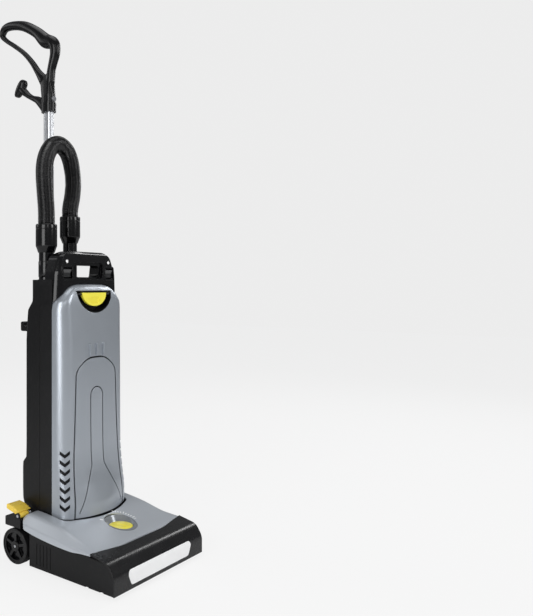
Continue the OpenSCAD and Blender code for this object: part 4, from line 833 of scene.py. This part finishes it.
def build_dial():
    """The clear ring with its cup and cone, and the knob with a finger bar and a pointer let into it."""
    cup_r, spindle_r = 26.5, 6
    ring = common(rod(DIAL_R, 71, 131, DIAL, "z", 128), head_cover_loft(0.4))
    ring = cut(ring, rod(cup_r, 75, 135, DIAL, "z", 128), lathe([(cup_r, 82), (42, 102)], DIAL, "z", 128),
               rod(spindle_r + 0.05, 0, 100, DIAL, "z", 48))
    place("dial_surround", ring, "head", "ring_clear", ["dial_ring"])

    knob = lathe([(24.6, 75.3), (26, 76.2), (26, 81.2), (25.2, 82.6), (23.8, 83)], DIAL, "z", 128)
    pointer = rectangle(-1, 1, 125, 137, 0.6, 0, 4)
    finger_bar = rounded([[-4, 88, 3.5], [4, 88, 3.5], [5.5, 112, 5], [0, 122, 3], [-5.5, 112, 5]], 8)
    knob = cut(knob, prism(pointer, "z", 82, 90), prism(finger_bar, "z", 82.2, 90))
    knob = tidied(merged(knob, rod(spindle_r, 20, 77, DIAL, "z", 48)))
    place("dial_knob", knob, "dial", "yellow", ["height_dial"])


# ------------ rear housing

REAR_SECTIONS = [
    # height, back of the sides, back of the spine
    (HOUSING_FOOT, 300, 318), (125, 308, 332), (150, 308, 345), (206, 308, 345), (219, 296, 345),
    (480, 296, 345), (545, 291, 345), (565, 275, 345), (HOUSING_TOP, 275, 345),
]


def rear_loft(t, front, low, high):
    """The closed form of the rear housing, t inside its surface."""
    rings, heights = [], []
    table = np.array(REAR_SECTIONS, float)
    for a, b in zip(REAR_SECTIONS, REAR_SECTIONS[1:]):
        heights += list(np.linspace(a[0], b[0], 5 if b[0] - a[0] < 70 else 9)[:-1])
    heights.append(HOUSING_TOP)
    for i, z in enumerate(heights):
        # The mean of three heights softens the kinks between the sections
        sides, spine = (np.mean([np.interp(z + d, table[:, 0], table[:, k]) for d in (-2.5, 0, 2.5)])
                        for k in (1, 2))
        outline = rounded(mirrored([[18 - t * 0.6, spine - t, 7], [BODY_HW - t, sides - t * 0.7, 9],
                                    [BODY_HW - t, front, 0]]), 12)
        z = low if i == 0 else high if i == len(heights) - 1 else z
        rings.append([(x, y, z) for x, y in outline])
    return loft(rings)


def build_rear_housing():
    body = cut(rear_loft(0, SEAM_Y + 0.5, HOUSING_FOOT, HOUSING_TOP),
               rear_loft(WALL, SEAM_Y - 5, HOUSING_FOOT + WALL, HOUSING_TOP - WALL))
    for x in (-BODY_HW, BODY_HW):
        side_groove = rectangle(x - 0.7, x + 0.7, 251.4, 252.6)
        body = cut(body, prism(side_groove, "z", 110, 560))
    tube_collar = prism(oval(4), "z", HOUSING_TOP - WALL, 640)
    gland_boss = rod(13, 0, 16, GLAND, "y", 48)
    body = joined(body, tube_collar, gland_boss)
    holes = [
        prism(oval(0.3), "z", 425, 652),  # for the handle tube
        rod(19.8, -10, 10, (*WAND, HOUSING_TOP), "z", 64),
        rod(16.8, -10, 10, (*INLET, HOUSING_TOP), "z", 64),
        rod(8.02, -5, 35, GLAND, "y", 48),
        rod(11.3, 16, 56, GLAND, "y", 48),  # the gland's counterbore
        rod(5.05, -4, 6, HOOK, "y", 32),
        rod(19.8, -40, 12, (*WAND, 102), "z", 64),  # for the riser duct
    ]
    screw_heights = (180, 330, 420, 570)
    holes += [rod(4, -3.4, 7, (0, HOOK[1], z), "y", 32) for z in screw_heights]
    yoke_slots = [rectangle(-100.5, -87.5, 262.5, 294.5), rectangle(87.5, 100.5, 262.5, 294.5)]
    holes += [prism(slot, "z", 60, 107.01) for slot in yoke_slots]
    place("rear_housing_shell", cut(body, *holes), "upright", "black_shell", ["rear_housing"])


# ------------ carry handle and controls


ROCKER_X, ROCKER_Y, ROCKER_Z = 69, 207, 627
LAMP_R, LAMP_Z = 3.6, 652


def grip_ring(y, spread):
    """The carry handle's outer outline at one depth."""
    outline = rounded(mirrored([[88 + spread, 564, 0], [86 + spread * 0.8, 627, 30],
                                [67 + spread * 1.2, 665, 25], [45 + spread, 675, 40]]), 14)
    return [(x, y, z) for x, z in outline]


def window_outline(grow):
    """The opening that the hand goes through, from the front."""
    return rounded(mirrored([[42 + grow, 644 + min(grow, 7), 6], [37 + grow, 618 - min(grow, 3), 10]]), 10)


def top_form():
    """The carry handle's closed form: its front edge widens by 14 mm over the first 15 mm of depth."""
    front, edge, spread = 198, 213, 14
    rings = []
    for y in np.concatenate([np.linspace(front, edge, 9), [216, 240]]):
        u = min(1, (y - front) / (edge - front))
        wider = spread * (u + 0.12 * math.sin(math.pi * u)) if y <= edge else spread + (y - edge) / 27
        rings.append(grip_ring(y, wider))
    return loft(rings)


def build_top_housing():
    lifted_cover = cover_loft(-0.5, SEAM_Y + 2)
    for v in lifted_cover.vertices:
        v.co.z += 0.0022
    cutters = [
        lifted_cover,
        prism(rectangle(-FAR, FAR, SEAM_Y, 400), "z", 500, HOUSING_TOP),  # over the rear housing
        # in front of the leaning face, and the round upper edge behind
        prism([(190, 599), (198, 605), (200.5, 636), (206, 667), (209.5, 673), (214, 676), (190, 680)],
              "x", -FAR, FAR),
        prism([(241, 659), (239, 664), (235, 671), (230, 676), (241, 680)], "x", -FAR, FAR),
        # the window, and its wider mouths behind and in front
        prism(window_outline(0), "y", 100, 400),
        prism(window_outline(6), "y", 230, 400),
        prism(window_outline(8), "y", 100, 207),
    ]
    trims = []
    for x in (-ROCKER_X, ROCKER_X):
        well = rectangle(x - 14, x + 14, 615, 639, 2, 2, 5)
        cutters.append(prism(well, "y", 150, 214))
        cutters.append(rod(LAMP_R, -60, 14, (x, 198, LAMP_Z), "y", 32))
        rocker_frame = rectangle(x - 17, x + 17, 611, 643, 4, 4, 8)
        trims.append(cut(prism(rocker_frame, "y", 190, 215), prism(well, "y", 180, 220)))
        lamp = (x, 200, LAMP_Z)
        trims.append(cut(rod(6, -20, 20, lamp, "y", 40), rod(LAMP_R, -30, 30, lamp, "y", 32)))
    top = cut(top_form(), *cutters)
    # The frames and the lamps' rings are thin layers along the leaning face
    face = prism([(197, 605), (199.5, 636), (204.9, 666), (208, 666), (204, 605)], "x", -FAR, FAR)
    top = tidied(merged(top, *(common(trim, face) for trim in trims)))
    place("carry_handle_shell", top, "upright", "gloss_black", ["top_housing"])


def build_rockers():
    lean = math.radians(7)
    outline = rounded([[-6, -9.5, 1.5], [-4, 0, 20], [-6, 9.5, 1.5], [3, 9, 1], [3, -9, 1]], 8)
    turned = [(ROCKER_Y + p * math.cos(lean) - q * math.sin(lean),
               ROCKER_Z + p * math.sin(lean) + q * math.cos(lean)) for p, q in outline]
    for name, body, x, node in (("power_paddle", "power_switch", -ROCKER_X, "power_rocker"),
                                ("brush_paddle", "brush_switch", ROCKER_X, "brush_rocker")):
        pin = rod(2, -13.7, 13.7, (x, ROCKER_Y, ROCKER_Z), "x", 24)
        mesh = tidied(merged(prism(turned, "x", x - 12.5, x + 12.5), pin))
        place(name, mesh, body, "rocker_black", [node])


# ------------ telescopic handle

# The handle's bars lie in the machine's middle plane. Each row is a point behind the tube's middle and
# above the ground, half the bar's height there, and its width as a share of 28 mm.
LOOP_PATH = [
    [-4, 1078, 13, 0.75], [-10, 1110, 10, 0.75], [-21, 1145, 12.5, 0.85], [-16, 1168, 14, 1],
    [10, 1180, 17, 1], [38.5, 1205.5, 13.5, 1], [75, 1228, 12.5, 1], [105, 1239, 11, 0.95],
    [136, 1244.5, 10, 0.85], [155, 1242, 8.5, 0.75], [163.5, 1232, 7, 0.7],
]
STRUT_PATH = [
    [159, 1236, 5, 0.6], [163.5, 1226, 6.2, 0.65], [148, 1211, 5.5, 0.65], [118, 1191, 5.5, 0.65],
    [84, 1166, 5.5, 0.65], [56, 1138, 6, 0.7], [36, 1112, 7.5, 0.75], [14, 1085, 14, 0.8],
]
HOOK_PATH = [
    [8, 1024, 18, 0.8], [22, 1034, 13, 0.8], [37, 1044, 9, 0.75], [53, 1051, 6.5, 0.7], [70, 1061, 7, 0.7],
    [84, 1072, 9, 0.75], [94, 1080, 8, 0.7],
]
KNOB_PATH = [
    [110, 1063, 4.5, 0.4], [108, 1067, 8.5, 0.6], [102, 1075, 11, 0.75], [93, 1086, 12.5, 0.8],
    [86, 1095, 10.5, 0.75], [82.5, 1100, 5, 0.5],
]


def oval_sweep(path):
    """A bar of oval section along one of the handle's paths."""
    fine = catmull(path, 10)
    rings = []
    for i, p in enumerate(fine):
        d = unit(fine[min(i + 1, len(fine) - 1)][:2] - fine[max(i - 1, 0)][:2])
        rings.append([(14 * p[3] * math.sin(a), TUBE_Y + p[0] + p[2] * math.cos(a) * d[1],
                       p[1] - p[2] * math.cos(a) * d[0]) for a in around(28)])
    return loft(rings)


def hull_of(mesh):
    bm = bmesh.new()
    bm.from_mesh(mesh)
    made = bmesh.ops.convex_hull(bm, input=bm.verts)
    inside = [e for e in made["geom_interior"] + made["geom_unused"] if isinstance(e, bmesh.types.BMVert)]
    bmesh.ops.delete(bm, geom=inside, context="VERTS")
    bm.to_mesh(mesh)
    bm.free()
    return mesh


def remeshed(mesh, voxel, rounds):
    """One blended skin round overlapping closed forms, smoothed the given number of rounds."""
    holder = add_object("remesh", mesh)
    remesh = holder.modifiers.new("voxels", "REMESH")
    remesh.mode = "VOXEL"
    remesh.voxel_size = voxel / 1000
    soften = holder.modifiers.new("soften", "SMOOTH")
    soften.iterations = rounds
    soften.factor = 0.5
    bpy.context.view_layer.update()
    result = bpy.data.meshes.new_from_object(holder.evaluated_get(bpy.context.evaluated_depsgraph_get()))
    bpy.data.objects.remove(holder)
    result.materials.clear()
    return result


def build_handle():
    """The loop with its hook and the collar, the tube with a groove on each side, and the lock button."""
    lock_z = 1038
    neck = hull_of(merged(prism(oval(4), "z", 1028, 1048), rod(15, -9, 9, (0, 333, 1083), "x", 48)))
    bars = [oval_sweep(path) for path in (LOOP_PATH, STRUT_PATH, HOOK_PATH, KNOB_PATH)]
    grip = remeshed(merged(*bars, neck), voxel=1.0, rounds=14)
    grip = cut(grip, prism(oval(0.02), "z", 1000, 1042.02), rod(6.05, 0, 36, (0, 288, lock_z), "y", 40),
               sharp=50)
    collar = cut(prism(oval(5.5), "z", 1008, 1030), prism(oval(0.02), "z", 1000, 1040))
    collar_band = cut(prism(oval(6.1), "z", 1024, 1027), prism(oval(0.5), "z", 1010, 1040))
    handle = tidied(merged(grip, collar, collar_band), 45)
    place("handle_grip", handle, "handle", "grip_black", ["loop_handle"])

    tube = cut(prism(oval(0), "z", 400, 1042), prism(oval(-1.6), "z", 390, 1050))
    for x in (-9, 9):
        side_groove = rectangle(x - 0.5, x + 0.5, TUBE_Y - 1, TUBE_Y + 1)
        tube = cut(tube, prism(side_groove, "z", 390, 1050))
    place("handle_pole", tube, "handle", "aluminium", ["handle_tube"])
    button = lathe([(5.2, 0), (6, 0.8), (6, 4.6), (5.6, 5)], (0, 308, lock_z), "y", 40)
    place("handle_button", button, "handle_lock", "button_grey", ["lock_button"])


# ------------ wand, cuffs, hook and dust bag


def build_pipes():
    for name, node, centre, low, top, pipe_r in (("wand_cuff_ring", "wand_cuff", WAND, 673, 737, 17),
                                                 ("inlet_cuff_ring", "inlet_cuff", INLET, 699, 762, 16.5)):
        profile = [
            (pipe_r + 0.05, low), (pipe_r + 1.4, low), (pipe_r + 1.9, low + 0.6), (22.6, low + 11.6),
            (23.6, low + 13.4), (24.1, low + 15), (24.25, low + 17), (24.25, top - 12), (23.7, top - 11.4),
            (23.7, top - 10.4), (24.25, top - 9.8), (24.25, top - 3), (23.8, top - 1.2), (22.6, top),
            (15.5, top), (15.5, top - 12), (pipe_r + 0.05, top - 12),
        ]
        cuff = lathe(profile, (*centre, 0), "z", 96, hollow=True)
        place(name, cuff, "upright", "gloss_black", [node])

    profile = [(15, 560), (17, 560), (17, 618), (17.6, 618.4), (18, 619.2), (18, 652.8), (17.6, 653.6),
               (17, 654), (17, 725), (15, 725)]
    wand = lathe(profile, (*WAND, 0), "z", 96, hollow=True)
    place("stowed_wand", wand, "upright", "gloss_black", ["wand_tube"])


def build_hook():
    arm = rounded([[351, 489, 3], [415, 489, 5], [415, 512, 4], [404, 512, 4], [404, 499, 5],
                   [351, 504, 3]], 8)
    disc = lathe([(11.4, 0.4), (12, 1), (12, 7.6), (11.2, 8.4)], HOOK, "y", 64)
    mesh = tidied(merged(prism(arm, "x", -9, 9), disc, rod(5, -3, 4, HOOK, "y", 32)))
    place("cord_hook", mesh, "cable_hook", "black_shell", ["lower_cable_hook"])


BAG_SECTIONS = [
    # height, half width, front, back
    (301, 66, 208, 236), (308, 74, 202, 242), (322, 82, 197.5, 248), (350, 85, 194, 250.5),
    (420, 86, 192.5, 251), (480, 85, 194, 250.6), (506, 83, 199, 250), (530, 81, 215, 249),
    (560, 74, 216.5, 247), (574, 66, 217, 242), (584, 43, 221, 236),
]


def build_dust_bag():
    """A filled fleece bag with a crowned front and back, slack corners, folds and a seam round its middle."""
    rings = []
    for z, hw, front, back in spline_table(BAG_SECTIONS, 150):
        mid, half = (front + back) / 2, (back - front) / 2
        ring = []
        for a in around(120):
            c, t = math.cos(a), math.sin(a)
            x = hw * math.copysign(abs(c) ** 0.5, c)
            y = half * math.copysign(abs(t) ** 0.75, t)
            fold = (0.5 * math.sin(5 * a + z * 0.05) + 0.5 * math.sin(13 * a - z * 0.11)) * min(1, half / 18)
            seam = 1.6 * math.exp(-(y / 1.2) ** 2) if abs(c) > 0.9 else 0
            ring.append((x * (1 - 0.012 * fold) + math.copysign(seam, x) - math.copysign(1.8, x),
                         mid + y * (0.96 - 0.035 * fold), z))
        rings.append(ring)
    bag = place("dust_bag_fleece", loft(rings, sharp=60), "upright", "paper", ["dust_bag"])


# ------------ wheels and pedal


def build_wheel(side, name):
    """One rear wheel: its tyre, and its rim with five spokes and a steel dot."""
    def turned(profile, steps, hollow=False):
        return lathe([(r, side * x) for r, x in profile], WHEEL, "x", steps, hollow)

    body = f"{name}_wheel_set"
    tyre = turned([(33.02, 132), (36.5, 131.5), (37.6, 132.4), (38, 135.5), (38, 148.5), (37.6, 151.6),
                   (36.5, 152.5), (33.02, 152.5)], 128, hollow=True)
    place(f"{name}_tread", tyre, body, "tyre", [f"{name}_tyre"])

    # A hollow is cut into each side of the hub, and the core and the spokes are left standing in it
    kept = [turned([(11, 100), (11, 200)], 64)]
    low, high = sorted((side * 100, side * 150.5))
    for i in range(5):
        t = math.radians(72 * i)
        outline = [(WHEEL[1] + u * math.cos(t) - v * math.sin(t),
                    WHEEL[2] + u * math.sin(t) + v * math.cos(t)) for u, v in rectangle(-3, 3, 9, 40)]
        kept.append(prism(outline, "x", low, high))
    hollows = [cut(turned([(29, a), (29, b)], 96), *kept) for a, b in ((131.5, 140.5), (144.5, 153.5))]
    hub = cut(turned([(33, 132.5), (33, 151.5)], 96), *hollows)
    hub = joined(hub, turned([(11, 128.4), (11, 150.8), (10.2, 151.8), (8.5, 152.1)], 64))
    hub = cut(hub, turned([(7.05, 100), (7.05, 149.5)], 48))
    dot = marked(turned([(2.6, 151.5), (2.6, 152.3), (2.1, 152.5)], 32))
    place(f"{name}_rim", merged(hub, dot), body, "gloss_black", [f"{name}_wheel"], second="steel")


def build_pedal():
    pivot, outer, barrel_end = (0, 271, 104), -148.1, -123
    outline = rounded([[279.5, 106, 1], [309, 113, 3], [309, 124, 4], [289, 121, 8], [271, 113, 3],
                       [269, 112.4, 0.5]], 8)
    web = prism([(271, 104), (280, 105), (280, 112), (271, 112)], "x", outer, barrel_end)
    barrel = rod(6, outer, barrel_end, pivot, "x", 40)
    pedal = joined(prism(outline, "x", outer, -113.4), web, barrel)
    pedal = cut(pedal, rod(3.05, -160, -100, pivot, "x", 32))
    place("release_pedal_plate", pedal, "pedal", "pedal_yellow", ["release_pedal"])


build_hose()
build_cover()
build_panel()
build_latch()
build_head_cover()
build_bumper()
build_dial()
build_rear_housing()
build_top_housing()
build_rockers()
build_handle()
build_pipes()
build_hook()
build_dust_bag()
build_wheel(-1, "left")
build_wheel(1, "right")
build_pedal()

for part in frame["record"]["subparts"]:
    if part["node"] != "suction_hose" and frame["nodes"][part["node"]] is not None:
        dress(part["node"], part["material_slot"])
